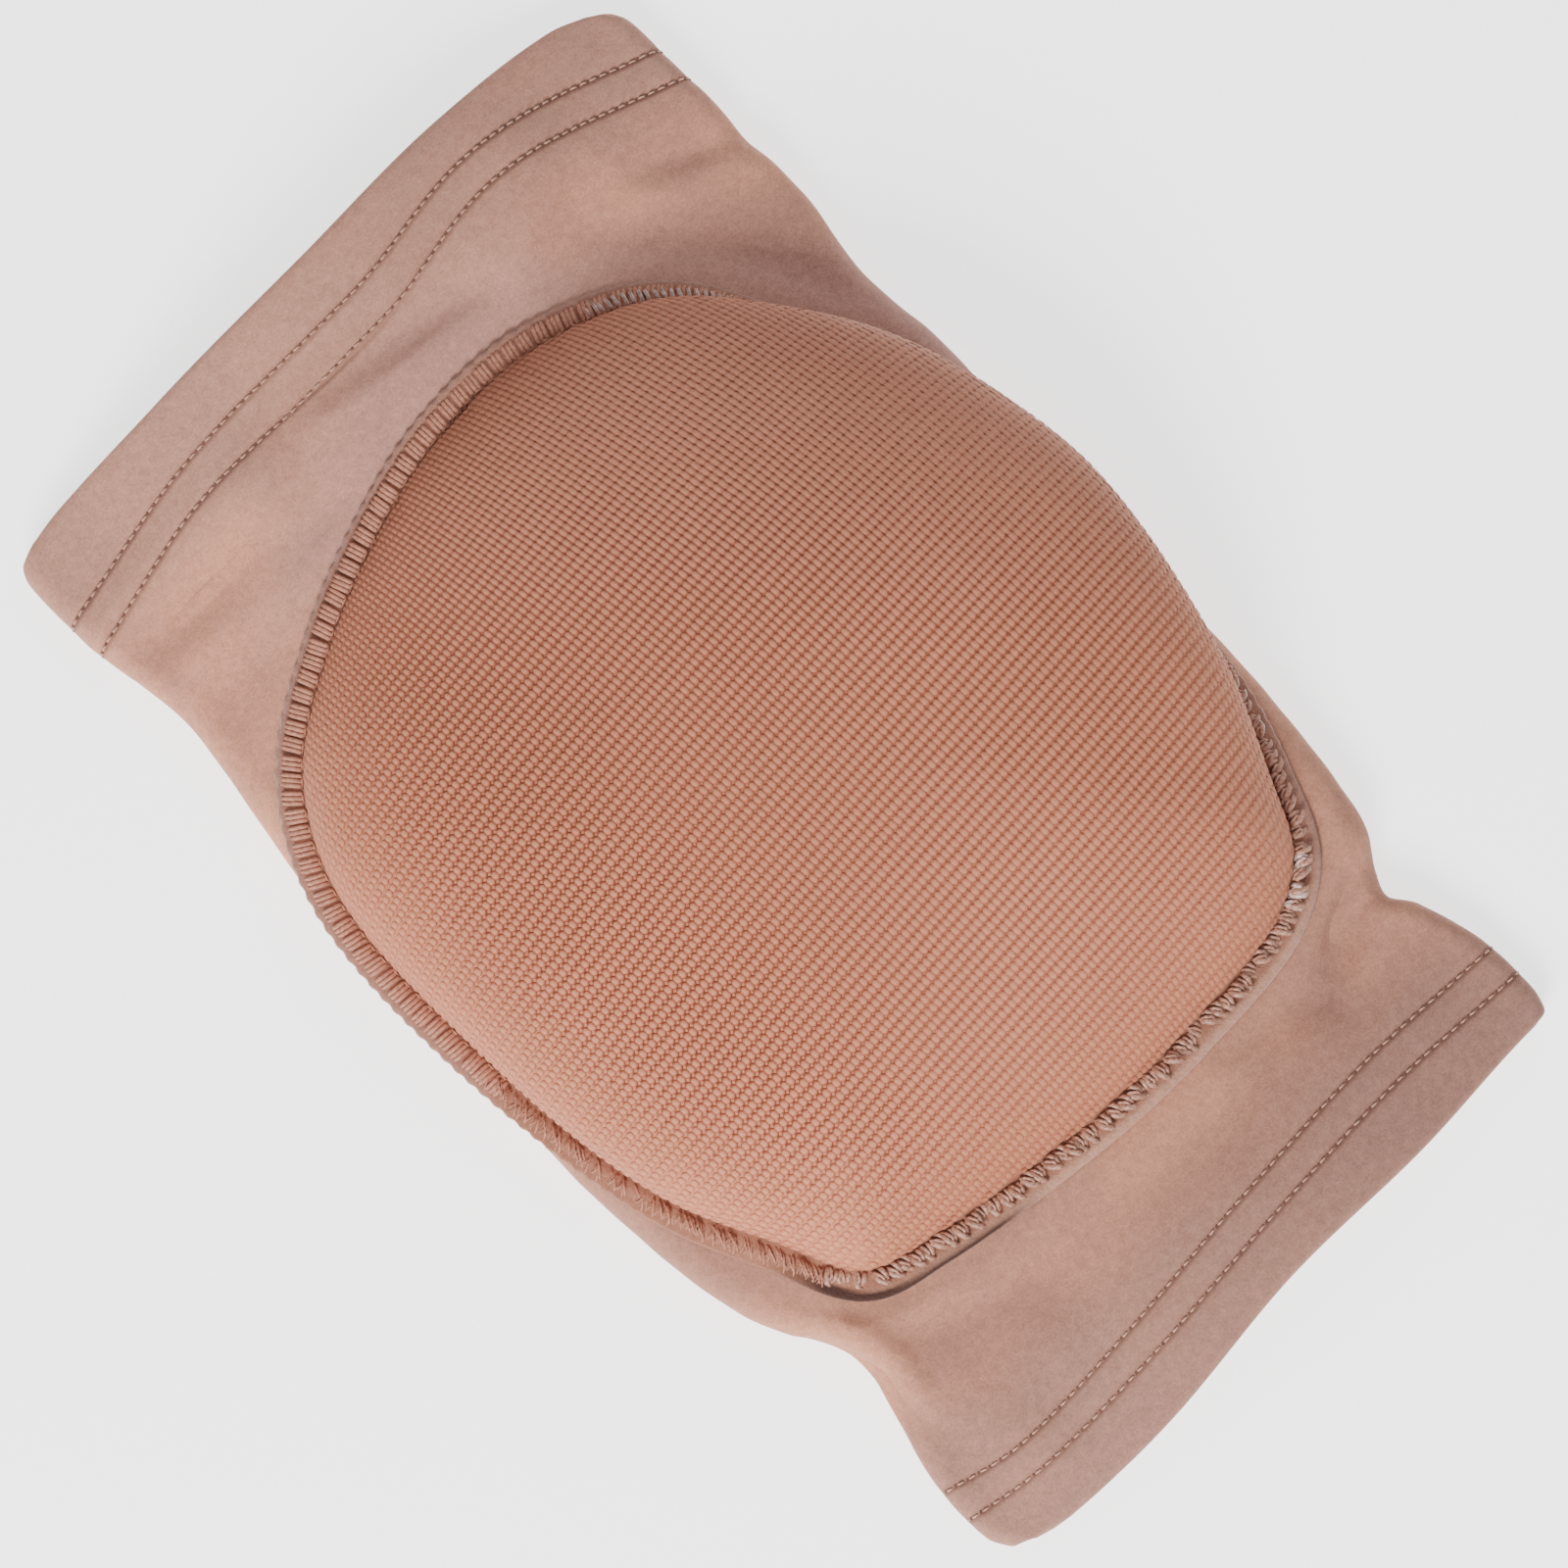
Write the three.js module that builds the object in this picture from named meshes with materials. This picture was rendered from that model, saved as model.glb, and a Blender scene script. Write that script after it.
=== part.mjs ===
// A volleyball knee pad that lies on its back: a pull-on stretch sleeve, open at both ends, with a turned-in
// hem at each mouth and a domed foam pad on its front, held by an overlocked edge.
// Millimetres, +Z up. X runs across the sleeve and +Y towards its wider, thigh end.

import * as THREE from "three";

// Driving dimensions of the sleeve
const sleeveLength = 248; // from rim to rim
const calfWidth = 134;
const thighWidth = 146;
const calfGape = 18; // height of the open mouth at the calf
const thighGape = 23.5;
const kneeRise = 27; // height of the sleeve's front under the middle of the pad
const frontRound = 1.5; // how the front rises from its side folds, larger is later
const sideFold = 6; // radius of the fold down each side
const wall = 1.2;
const rimWave = 3; // how far the rims wander from a straight line
const foldRise = 2.4; // height of the soft folds, and half their width
const foldSpread = 8;
const foldFade = 8; // over what length the soft folds fade out towards the pad

// Driving dimensions of the hems
const calfHemDepth = 20;
const thighHemDepth = 26;
const hemWall = 0.9;

// Driving dimensions of the pad
const padWidth = 142; // from seam to seam
const padLength = 165;
const padHeight = 48.5; // crest above the floor
const padAside = 1.2; // centre of the pad from the middle of the sleeve, across and towards the thigh
const padAhead = 1;
const sideRound = 0.4; // how steeply the dome leaves its seam, smaller is steeper
const endRound = 0.68;
const padSwell = 3.5; // how far the dome swells out over its seam
const edgeWidth = 5.3;
const edgeThickness = 1.6;
const edgeDroop = 30; // degrees that the edge hangs where the sleeve doesn't carry it

// Fits
const clearance = 0.3; // between any two pieces
const underClearance = 0.6; // between the hollow underside of the foam and the sleeve

// Fineness of the meshes
const bottomSteps = 8;
const foldSteps = 5;
const topSteps = 28;
const hemSteps = 4;
const middleSteps = 26;
const padSteps = 56;

const calfHalf = calfWidth / 2;
const thighHalf = thighWidth / 2;
const padHalf = padWidth / 2;
const padHalfLength = padLength / 2;
const halfLength = sleeveLength / 2;

// Cross-sections of the sleeve from the calf rim, along 0, to the thigh rim, along 1.
// left and right are its edges beside the middle line, crest is the height of its front, and fold is the
// radius of its side folds as a share of sideFold.
const sections = [
  { along: 0.0, left: 0.93 * calfHalf, right: 1.015 * calfHalf, crest: calfGape, fold: 0.58 },
  { along: 0.02, left: 0.97 * calfHalf, right: 1.035 * calfHalf, crest: 1.01 * calfGape, fold: 0.6 },
  { along: 0.07, left: 0.97 * calfHalf, right: 1.03 * calfHalf, crest: 0.97 * calfGape, fold: 0.63 },
  { along: 0.12, left: 0.93 * calfHalf, right: 0.975 * calfHalf, crest: 0.88 * calfGape, fold: 0.68 },
  { along: 0.138, left: 0.915 * calfHalf, right: 0.93 * calfHalf, crest: 0.84 * calfGape, fold: 0.72 },
  { along: 0.157, left: 0.9 * calfHalf, right: 0.96 * calfHalf, crest: 0.54 * kneeRise, fold: 0.76 },
  { along: 0.185, left: 0.905 * calfHalf, right: 1.01 * calfHalf, crest: 0.54 * kneeRise, fold: 0.8 },
  { along: 0.25, left: 0.965 * padHalf, right: padHalf, crest: 0.67 * kneeRise, fold: 0.92 },
  { along: 0.37, left: 1.025 * padHalf, right: 1.03 * padHalf, crest: 0.92 * kneeRise, fold: 1.0 },
  { along: 0.49, left: 1.025 * padHalf, right: 1.035 * padHalf, crest: kneeRise, fold: 1.0 },
  { along: 0.645, left: 1.03 * padHalf, right: 1.06 * padHalf, crest: 0.88 * kneeRise, fold: 1.0 },
  { along: 0.735, left: 0.985 * padHalf, right: 1.045 * padHalf, crest: 0.67 * kneeRise, fold: 0.9 },
  { along: 0.8, left: 0.925 * thighHalf, right: 1.05 * thighHalf, crest: 0.56 * kneeRise, fold: 0.8 },
  { along: 0.85, left: 0.915 * thighHalf, right: 1.045 * thighHalf, crest: 0.62 * thighGape, fold: 0.75 },
  { along: 0.9, left: 0.945 * thighHalf, right: 1.053 * thighHalf, crest: 0.73 * thighGape, fold: 0.7 },
  { along: 0.94, left: 0.955 * thighHalf, right: 1.05 * thighHalf, crest: 0.85 * thighGape, fold: 0.68 },
  { along: 0.985, left: 0.955 * thighHalf, right: 1.045 * thighHalf, crest: 0.98 * thighGape, fold: 0.67 },
  { along: 1.0, left: 0.935 * thighHalf, right: 1.02 * thighHalf, crest: thighGape, fold: 0.66 },
];

// How far each rim reaches out past a straight line, from the left side, across -1, to the right, across 1.
const rims = [
  { across: -1.0, calf: 0.0 * rimWave, thigh: -1.4 * rimWave },
  { across: -0.85, calf: 0.8 * rimWave, thigh: -0.8 * rimWave },
  { across: -0.5, calf: 0.9 * rimWave, thigh: -0.8 * rimWave },
  { across: 0.0, calf: -0.2 * rimWave, thigh: -0.8 * rimWave },
  { across: 0.5, calf: -0.1 * rimWave, thigh: 0.1 * rimWave },
  { across: 0.85, calf: -0.5 * rimWave, thigh: 0.0 * rimWave },
  { across: 1.0, calf: -0.6 * rimWave, thigh: -1.3 * rimWave },
];

// Soft folds of the front, each a ridge or a valley along a straight line between two places, which are
// shares of half the thigh's width and half the length.
const folds = [
  // valley beside the thigh hem
  { from: [0.3, 0.77], to: [-0.2, 0.83], height: -1.1 * foldRise, spread: 1.1 * foldSpread },
  // ridge over the thigh's waist
  { from: [0.62, 0.86], to: [0.36, 0.74], height: 0.9 * foldRise, spread: 1.1 * foldSpread },
  // ridge and valley left of the thigh's waist
  { from: [-0.95, 0.66], to: [-0.45, 0.76], height: 0.85 * foldRise, spread: 1.0 * foldSpread },
  { from: [-0.9, 0.58], to: [-0.55, 0.66], height: -0.65 * foldRise, spread: 1.0 * foldSpread },
  // valley right of the pad
  { from: [0.6, 0.74], to: [0.85, 0.5], height: -0.75 * foldRise, spread: 1.0 * foldSpread },
  // ridge and valley at the left notch beside the calf
  { from: [-0.85, -0.6], to: [-0.7, -0.9], height: 0.9 * foldRise, spread: 1.0 * foldSpread },
  { from: [-0.8, -0.62], to: [-0.4, -0.75], height: -0.75 * foldRise, spread: 1.0 * foldSpread },
  // valley below the pad's corner
  { from: [0.62, -0.72], to: [0.15, -0.76], height: -0.85 * foldRise, spread: 1.0 * foldSpread },
  // crease from the right notch beside the calf
  { from: [0.95, -0.68], to: [0.6, -0.74], height: -0.85 * foldRise, spread: 0.9 * foldSpread },
];

// The pad's seam, as shares of half its width and length, with how much the dome swells over it
// and how much the edge droops, each as a share of its named size.
const padOutline = [
  { across: 1.0, along: -0.036, swell: 1.0, droop: 1.0 },
  { across: 0.975, along: 0.193, swell: 1.0, droop: 0.4 },
  { across: 0.914, along: 0.427, swell: 1.0, droop: 0.0 },
  { across: 0.789, along: 0.659, swell: 1.0, droop: 0.0 },
  { across: 0.595, along: 0.878, swell: 0.8, droop: 0.0 },
  { across: 0.301, along: 0.988, swell: 0.2, droop: 0.0 },
  { across: -0.017, along: 0.994, swell: 0.0, droop: 0.0 },
  { across: -0.316, along: 0.93, swell: 0.0, droop: 0.0 },
  { across: -0.594, along: 0.825, swell: 0.0, droop: 0.0 },
  { across: -0.842, along: 0.676, swell: 0.0, droop: 0.0 },
  { across: -0.982, along: 0.444, swell: 0.0, droop: 0.0 },
  { across: -1.0, along: -0.036, swell: 0.0, droop: 0.0 },
  { across: -0.921, along: -0.487, swell: 0.0, droop: 0.0 },
  { across: -0.805, along: -0.716, swell: 0.0, droop: 0.0 },
  { across: -0.7, along: -0.885, swell: 0.0, droop: 0.0 },
  { across: -0.53, along: -0.93, swell: 0.0, droop: 0.0 },
  { across: -0.017, along: -0.99, swell: 0.0, droop: 0.0 },
  { across: 0.283, along: -0.99, swell: 0.0, droop: 0.0 },
  { across: 0.6, along: -0.96, swell: 0.0, droop: 0.0 },
  { across: 0.75, along: -0.885, swell: 0.1, droop: 0.0 },
  { across: 0.83, along: -0.75, swell: 0.2, droop: 0.0 },
  { across: 0.932, along: -0.51, swell: 0.6, droop: 0.2 },
];

// A column of a table between its rows, by a smooth curve through them.
function between(rows, key, column, at) {
  const last = rows.length - 1;
  let i = 0;
  while (i < last - 1 && rows[i + 1][key] < at) {
    i += 1;
  }
  const a = rows[i];
  const b = rows[i + 1];
  const before = rows[Math.max(i - 1, 0)];
  const after = rows[Math.min(i + 2, last)];
  const span = b[key] - a[key];
  const t = THREE.MathUtils.clamp((at - a[key]) / span, 0, 1);
  const slopeA = (b[column] - before[column]) / (b[key] - before[key]);
  const slopeB = (after[column] - a[column]) / (after[key] - a[key]);
  const t2 = t * t;
  const t3 = t2 * t;
  const rise = (2 * t3 - 3 * t2 + 1) * a[column] + (3 * t2 - 2 * t3) * b[column];
  return rise + span * ((t3 - 2 * t2 + t) * slopeA + (t3 - t2) * slopeB);
}

function sectionAt(along) {
  return {
    left: -between(sections, "along", "left", along),
    right: between(sections, "along", "right", along),
    crest: between(sections, "along", "crest", along),
    fold: sideFold * between(sections, "along", "fold", along),
  };
}

function yAt(along, across) {
  const calfRim = -halfLength - between(rims, "across", "calf", across);
  const thighRim = halfLength + between(rims, "across", "thigh", across);
  return THREE.MathUtils.lerp(calfRim, thighRim, along);
}

// Height of the sleeve's front at a share of its width, t from -1 to 1, without its folds.
function frontHeight(section, t) {
  const bulge = Math.pow(Math.max(1 - t * t, 0), frontRound);
  return 2 * section.fold + (section.crest - 2 * section.fold) * bulge;
}

// Height of the sleeve's front below a place of the pad, level where the place is past the side folds.
function seatHeight(x, y) {
  let along = 0.5;
  let t = 0;
  for (let i = 0; i < 4; i += 1) {
    const section = sectionAt(along);
    const low = section.left + section.fold;
    const high = section.right - section.fold;
    t = THREE.MathUtils.clamp((2 * (x - low)) / (high - low) - 1, -1, 1);
    const start = yAt(0, t);
    along = THREE.MathUtils.clamp((y - start) / (yAt(1, t) - start), 0, 1);
  }
  return frontHeight(sectionAt(along), t);
}

// The seam as a closed curve, and its places with the way out, the swell and the droop.
function seamPlaces(count) {
  const points = padOutline.map(
    (row) => new THREE.Vector3(padAside + row.across * padHalf, padAhead + row.along * padHalfLength, 0),
  );
  const amounts = padOutline.map((row) => new THREE.Vector3(row.swell, row.droop, 0));
  const seam = new THREE.CatmullRomCurve3(points, true, "centripetal");
  const amount = new THREE.CatmullRomCurve3(amounts, true, "catmullrom", 0.5);
  const places = [];
  for (let i = 0; i < count; i += 1) {
    const t = seam.getUtoTmapping(i / count);
    const tangent = seam.getTangent(t);
    places.push({
      point: seam.getPoint(t),
      out: new THREE.Vector3(tangent.y, -tangent.x, 0).normalize(),
      swell: THREE.MathUtils.clamp(amount.getPoint(t).x, 0, 1),
      droop: THREE.MathUtils.clamp(amount.getPoint(t).y, 0, 1),
    });
  }
  return places;
}

const padBorder = seamPlaces(padSteps).map(({ point, out }) => point.clone().addScaledVector(out, edgeWidth));

// Distance from a place to the outer edge of the pad, 0 inside it.
function outsidePad(x, y) {
  let inside = false;
  let nearest = Infinity;
  padBorder.forEach((a, i) => {
    const b = padBorder[(i + 1) % padBorder.length];
    if (a.y > y !== b.y > y && x < a.x + ((y - a.y) * (b.x - a.x)) / (b.y - a.y)) {
      inside = !inside;
    }
    nearest = Math.min(nearest, distanceToLine(x, y, a.x, a.y, b.x, b.y));
  });
  return inside ? 0 : nearest;
}

function distanceToLine(x, y, ax, ay, bx, by) {
  const dx = bx - ax;
  const dy = by - ay;
  const t = THREE.MathUtils.clamp(((x - ax) * dx + (y - ay) * dy) / (dx * dx + dy * dy), 0, 1);
  return Math.hypot(x - ax - t * dx, y - ay - t * dy);
}

// The folds of the front, which fade out towards the pad and towards the side folds.
function foldHeight(x, y, t) {
  const padFade = THREE.MathUtils.smoothstep(outsidePad(x, y), 0.25 * foldFade, 1.25 * foldFade);
  const sideFade = 1 - Math.pow(Math.abs(t), 8);
  const sum = folds.reduce((height, fold) => {
    const [ax, ay] = [fold.from[0] * thighHalf, fold.from[1] * halfLength];
    const [bx, by] = [fold.to[0] * thighHalf, fold.to[1] * halfLength];
    const away = distanceToLine(x, y, ax, ay, bx, by) / fold.spread;
    return height + fold.height * Math.exp(-away * away);
  }, 0);
  return padFade * sideFade * sum;
}

// The sleeve's outer face. around runs 0 to 1 over its back, 1 to 2 up the right fold, 2 to 3 over its front
// and 3 to 4 down the left fold.
function sleevePoint(along, around) {
  const section = sectionAt(along);
  const stretch = Math.floor(around) % 4;
  const share = around - Math.floor(around);
  const low = section.left + section.fold;
  const high = section.right - section.fold;
  const turn = (share - 0.5) * Math.PI;
  const point = new THREE.Vector3();
  if (stretch === 0) {
    point.x = THREE.MathUtils.lerp(low, high, share);
  } else if (stretch === 1) {
    point.x = high + section.fold * Math.cos(turn);
    point.z = section.fold * (1 + Math.sin(turn));
  } else if (stretch === 2) {
    point.x = THREE.MathUtils.lerp(high, low, share);
    point.z = frontHeight(section, 1 - 2 * share);
  } else {
    point.x = low - section.fold * Math.cos(turn);
    point.z = section.fold * (1 - Math.sin(turn));
  }
  const across = (2 * (point.x - section.left)) / (section.right - section.left) - 1;
  point.y = yAt(along, across);
  if (stretch === 2) {
    point.z += foldHeight(point.x, point.y, 1 - 2 * share);
  }
  return point;
}

// A point inside the sleeve's outer face by a depth, square to it.
function sleeveInside(along, around, depth) {
  const step = 1e-3;
  const start = THREE.MathUtils.clamp(along - step, 0, 1);
  const end = THREE.MathUtils.clamp(along + step, 0, 1);
  const lengthwise = sleevePoint(end, around).sub(sleevePoint(start, around));
  const crosswise = sleevePoint(along, around + step).sub(sleevePoint(along, around + 4 - step));
  const outward = lengthwise.cross(crosswise).normalize();
  return sleevePoint(along, around).addScaledVector(outward, -depth);
}

function stepsAround() {
  const counts = [bottomSteps, foldSteps, topSteps, foldSteps];
  return counts.flatMap((count, stretch) => Array.from({ length: count }, (_, i) => stretch + i / count));
}

function evenSteps(start, end, count) {
  return Array.from({ length: count + 1 }, (_, i) => THREE.MathUtils.lerp(start, end, i / count));
}

// The rim is the fold of the hem, a half round as thick as both plies and the gap between them.
const rimRadius = (wall + clearance + hemWall) / 2;
const rimShare = rimRadius / sleeveLength;
const calfStops = evenSteps(rimShare, calfHemDepth / sleeveLength, hemSteps);
const thighStops = evenSteps(1 - thighHemDepth / sleeveLength, 1 - rimShare, hemSteps);
const middleStops = evenSteps(calfStops[hemSteps], thighStops[0], middleSteps).slice(1, -1);

// A closed surface through loops of points. Each loop may be a single point, which ends the surface there;
// otherwise the last loop joins the first. Each cell is split along its shorter diagonal.
function surfaceThrough(loops) {
  const points = loops.flat();
  const starts = loops.map((_, i) => loops.slice(0, i).flat().length);
  const faces = [];
  const closes = loops[0].length > 1;
  for (let i = 0; i < loops.length - (closes ? 0 : 1); i += 1) {
    const next = (i + 1) % loops.length;
    const count = Math.max(loops[i].length, loops[next].length);
    for (let j = 0; j < count; j += 1) {
      const k = (j + 1) % count;
      const a = starts[i] + (j % loops[i].length);
      const b = starts[i] + (k % loops[i].length);
      const c = starts[next] + (k % loops[next].length);
      const d = starts[next] + (j % loops[next].length);
      const short = points[a].distanceTo(points[c]) <= points[b].distanceTo(points[d]);
      const cell = short ? [[a, d, c], [a, c, b]] : [[a, d, b], [d, c, b]];
      faces.push(...cell.filter(([u, v, w]) => u !== v && v !== w && w !== u).flat());
    }
  }
  const geometry = new THREE.BufferGeometry().setFromPoints(points);
  geometry.setIndex(faces);
  geometry.computeVertexNormals();
  return geometry;
}

function sleeveGeometry() {
  const stops = [...calfStops, ...middleStops, ...thighStops];
  const around = stepsAround();
  const outer = stops.map((along) => around.map((u) => sleevePoint(along, u)));
  const inner = stops.map((along) => around.map((u) => sleeveInside(along, u, wall)));
  return surfaceThrough([...outer, ...inner.reverse()]);
}

// A hem is the inner ply along its stops and the half round that covers the sleeve's end.
function hemGeometry(stops, rimAlong) {
  const around = stepsAround();
  const toRim = Math.sign(rimAlong - stops[0]);
  const bothPlies = rimRadius * 2;
  const loop = (along, depth) => around.map((u) => sleeveInside(along, u, depth));
  const end = rimAlong - (toRim * (rimRadius - clearance)) / sleeveLength;
  const round = evenSteps(0, Math.PI, 3).map((turn) =>
    loop(end + toRim * Math.sin(turn) * Math.abs(rimAlong - end), rimRadius * (1 - Math.cos(turn))),
  );
  const inward = [...stops].reverse();
  const innerFace = inward.map((along) => loop(along, bothPlies));
  const outerFace = stops.map((along) => loop(along, bothPlies - hemWall));
  const notch = loop(end, bothPlies - hemWall);
  const loops = [...round, ...innerFace, ...outerFace, notch];
  return surfaceThrough(toRim > 0 ? loops : loops.reverse());
}

const seatAt = (point) => seatHeight(point.x, point.y) + clearance;

// The cushion: the dome from its crest down to the seam, then the hollow underside back to the middle.
function cushionGeometry() {
  const places = seamPlaces(padSteps);
  const centre = new THREE.Vector3(padAside, padAhead, 0);
  const domeRings = [0.22, 0.42, 0.6, 0.74, 0.84, 0.91, 0.955, 0.985, 1.0];
  const underRings = [1.0, 0.93, 0.84, 0.73, 0.6, 0.46, 0.31, 0.16];
  const dome = domeRings.map((ring) =>
    places.map(({ point, out, swell }) => {
      const toSide = Math.pow(Math.cos(Math.atan2(point.y - centre.y, point.x - centre.x)), 2);
      const height = Math.pow(1 - ring * ring, THREE.MathUtils.lerp(endRound, sideRound, toSide));
      const seamTop = seatAt(point) + edgeThickness;
      const place = centre.clone().lerp(point, ring);
      place.addScaledVector(out, padSwell * swell * 4 * height * (1 - height) * ring);
      place.z = THREE.MathUtils.lerp(seamTop, padHeight, height);
      return place;
    }),
  );
  const under = underRings.map((ring) =>
    places.map(({ point }) => {
      const place = centre.clone().lerp(point, ring);
      place.z = seatHeight(place.x, place.y) + (ring < 1 ? underClearance : clearance);
      return place;
    }),
  );
  const crest = centre.clone().setZ(padHeight);
  const hollow = centre.clone().setZ(seatHeight(centre.x, centre.y) + underClearance);
  return surfaceThrough([[crest], ...dome, ...under, [hollow]]);
}

// The edge: a soft band outside the seam, round at its outer side, that lies on the sleeve.
function edgeGeometry() {
  const half = edgeThickness / 2;
  const profile = [
    { out: clearance, up: edgeThickness },
    { out: edgeWidth - half, up: edgeThickness },
    { out: edgeWidth, up: half },
    { out: edgeWidth - half, up: 0 },
    { out: clearance, up: 0 },
  ];
  const places = seamPlaces(padSteps);
  const loops = profile.map(({ out: reach, up }) =>
    places.map(({ point, out, droop }) => {
      const fall = THREE.MathUtils.degToRad(edgeDroop * droop);
      const place = point.clone().addScaledVector(out, reach * Math.cos(fall) + up * Math.sin(fall));
      place.z = seatAt(place) + up * Math.cos(fall) - (reach - clearance) * Math.sin(fall);
      return place;
    }),
  );
  return surfaceThrough(loops);
}

const clothMaterial = new THREE.MeshStandardMaterial({ color: 0xb99685, roughness: 0.85, metalness: 0 });
const hemMaterial = new THREE.MeshStandardMaterial({ color: 0xb39080, roughness: 0.88, metalness: 0 });
const knitMaterial = new THREE.MeshStandardMaterial({ color: 0xb9826c, roughness: 0.8, metalness: 0 });
const threadMaterial = new THREE.MeshStandardMaterial({ color: 0xa6735e, roughness: 0.6, metalness: 0 });

function piece(name, geometry, material) {
  const mesh = new THREE.Mesh(geometry, material);
  mesh.name = name;
  return mesh;
}

const kneePad = new THREE.Group();
kneePad.add(
  piece("sleeve", sleeveGeometry(), clothMaterial),
  piece("thigh_hem", hemGeometry(thighStops, 1), hemMaterial),
  piece("calf_hem", hemGeometry([...calfStops].reverse(), 0), hemMaterial),
  piece("pad_cushion", cushionGeometry(), knitMaterial),
  piece("pad_edge", edgeGeometry(), threadMaterial),
);

// The origin is on the floor, below the middle of the whole.
const middle = new THREE.Box3().setFromObject(kneePad).getCenter(new THREE.Vector3());
kneePad.position.set(-middle.x, -middle.y, 0);

export default kneePad;
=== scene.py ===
import math
import bpy
import numpy as np
from mathutils import Matrix, Vector


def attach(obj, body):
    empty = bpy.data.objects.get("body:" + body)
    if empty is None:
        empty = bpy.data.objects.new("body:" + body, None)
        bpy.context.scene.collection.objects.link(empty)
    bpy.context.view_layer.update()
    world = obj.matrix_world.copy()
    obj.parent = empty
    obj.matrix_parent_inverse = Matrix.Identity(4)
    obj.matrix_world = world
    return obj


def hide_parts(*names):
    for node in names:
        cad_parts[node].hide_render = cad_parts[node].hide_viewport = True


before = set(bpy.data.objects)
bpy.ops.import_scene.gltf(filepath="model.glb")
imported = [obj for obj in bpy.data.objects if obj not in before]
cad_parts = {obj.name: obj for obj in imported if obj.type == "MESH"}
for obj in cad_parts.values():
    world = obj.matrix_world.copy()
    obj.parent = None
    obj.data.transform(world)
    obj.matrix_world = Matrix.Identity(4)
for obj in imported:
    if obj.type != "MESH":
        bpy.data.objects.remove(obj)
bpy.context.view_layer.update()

print("frame loaded")

# A pull-on knee pad on its back. Sizes in the tables are millimetres from the sleeve's own middle,
# +Y towards the thigh end; onFrame() turns them into metres from the frame's origin.
middleShift = np.array([-0.699, 1.135, 0.0])
millimetre = 0.001


def onFrame(points):
    return (np.asarray(points, float) + middleShift) * millimetre


def tone(red, green, blue):  # screen colour, 0 to 255, to the linear colour of a shader
    shares = [channel / 255 for channel in (red, green, blue)]
    return [s / 12.92 if s < 0.04045 else ((s + 0.055) / 1.055) ** 2.4 for s in shares] + [1.0]


def smoothStep(values, start, end):
    t = np.clip((values - start) / (end - start), 0, 1)
    return t * t * (3 - 2 * t)


def within(values, start, full, fading, end):  # rises from start to full, falls from fading to end
    return smoothStep(values, start, full) * (1 - smoothStep(values, fading, end))


def unit(vectors):
    return vectors / np.linalg.norm(vectors, axis=-1, keepdims=True)


def addObject(name, data):
    thing = bpy.data.objects.new(name, data)
    bpy.context.scene.collection.objects.link(thing)
    return thing


# Camera
cameraView = {
    "target": (-0.0007, -0.000865, 0.016),
    "right": (0.7181, -0.6959, 0.0),
    "up": (0.6891, 0.7111, 0.1392),
    "back": (-0.09685, -0.09994, 0.99027),
    "distance": 1.0,
    "drop": 0.0005,
    "lens": 133.2,
    "sensor": 36,
    "nearest": 0.05,
}


def makeCamera():
    data = bpy.data.cameras.new("photoCamera")
    data.lens, data.sensor_width = cameraView["lens"], cameraView["sensor"]
    data.clip_start = cameraView["nearest"]
    right, up, back = (np.array(cameraView[key]) for key in ("right", "up", "back"))
    place = np.array(cameraView["target"]) + back * cameraView["distance"] - up * cameraView["drop"]
    turn = Matrix(np.column_stack([right, up, back]).tolist()).to_4x4()
    camera = addObject("photoCamera", data)
    camera.matrix_world = Matrix.Translation(place.tolist()) @ turn
    bpy.context.scene.camera = camera


# Shapes from tables
def hermite(t, a, b, slopeA, slopeB):  # from a to b, with the slopes it has there
    rise = (2 * t**3 - 3 * t**2 + 1) * a + (3 * t**2 - 2 * t**3) * b
    return rise + (t**3 - 2 * t**2 + t) * slopeA + (t**3 - t**2) * slopeB


def between(rows, at):  # a smooth curve through a table's rows, read at each value of the first column
    rows, at = np.asarray(rows, float), np.asarray(at, float)
    keys, columns = rows[:, 0], rows[:, 1:]
    last = len(keys) - 1
    i = np.searchsorted(keys[1:last], at, side="left")
    before, after = np.maximum(i - 1, 0), np.minimum(i + 2, last)
    span = (keys[i + 1] - keys[i])[..., None]
    t = np.clip((at - keys[i])[..., None] / span, 0, 1)
    slopeA = (columns[i + 1] - columns[before]) / (keys[i + 1] - keys[before])[..., None]
    slopeB = (columns[after] - columns[i]) / (keys[after] - keys[i])[..., None]
    return hermite(t, columns[i], columns[i + 1], span * slopeA, span * slopeB)


def closedRun(points):  # lengths along a closed line, from its first point round to it again
    steps = np.linalg.norm(np.roll(points, -1, 0) - points, axis=1)
    return np.concatenate([[0], np.cumsum(steps)])


def readRound(at, run, rows):  # a closed line's values at given lengths along it
    closed = np.vstack([rows, rows[:1]])
    return np.stack([np.interp(at % run[-1], run, column) for column in closed.T], -1)


def nearPath(x, y, path):  # distance to a path, and the share of its length where it is nearest
    nearest, share = np.full(np.shape(x), np.inf), np.zeros(np.shape(x))
    steps = [math.dist(a, b) for a, b in zip(path[:-1], path[1:])]
    done, total = 0.0, max(sum(steps), 1e-9)
    for (ax, ay), (bx, by), step in zip(path[:-1], path[1:], steps):
        dx, dy = bx - ax, by - ay
        t = np.clip(((x - ax) * dx + (y - ay) * dy) / max(dx * dx + dy * dy, 1e-9), 0, 1)
        away = np.hypot(x - ax - t * dx, y - ay - t * dy)
        share = np.where(away < nearest, (done + t * step) / total, share)
        nearest = np.minimum(nearest, away)
        done += step
    return nearest, share


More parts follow.
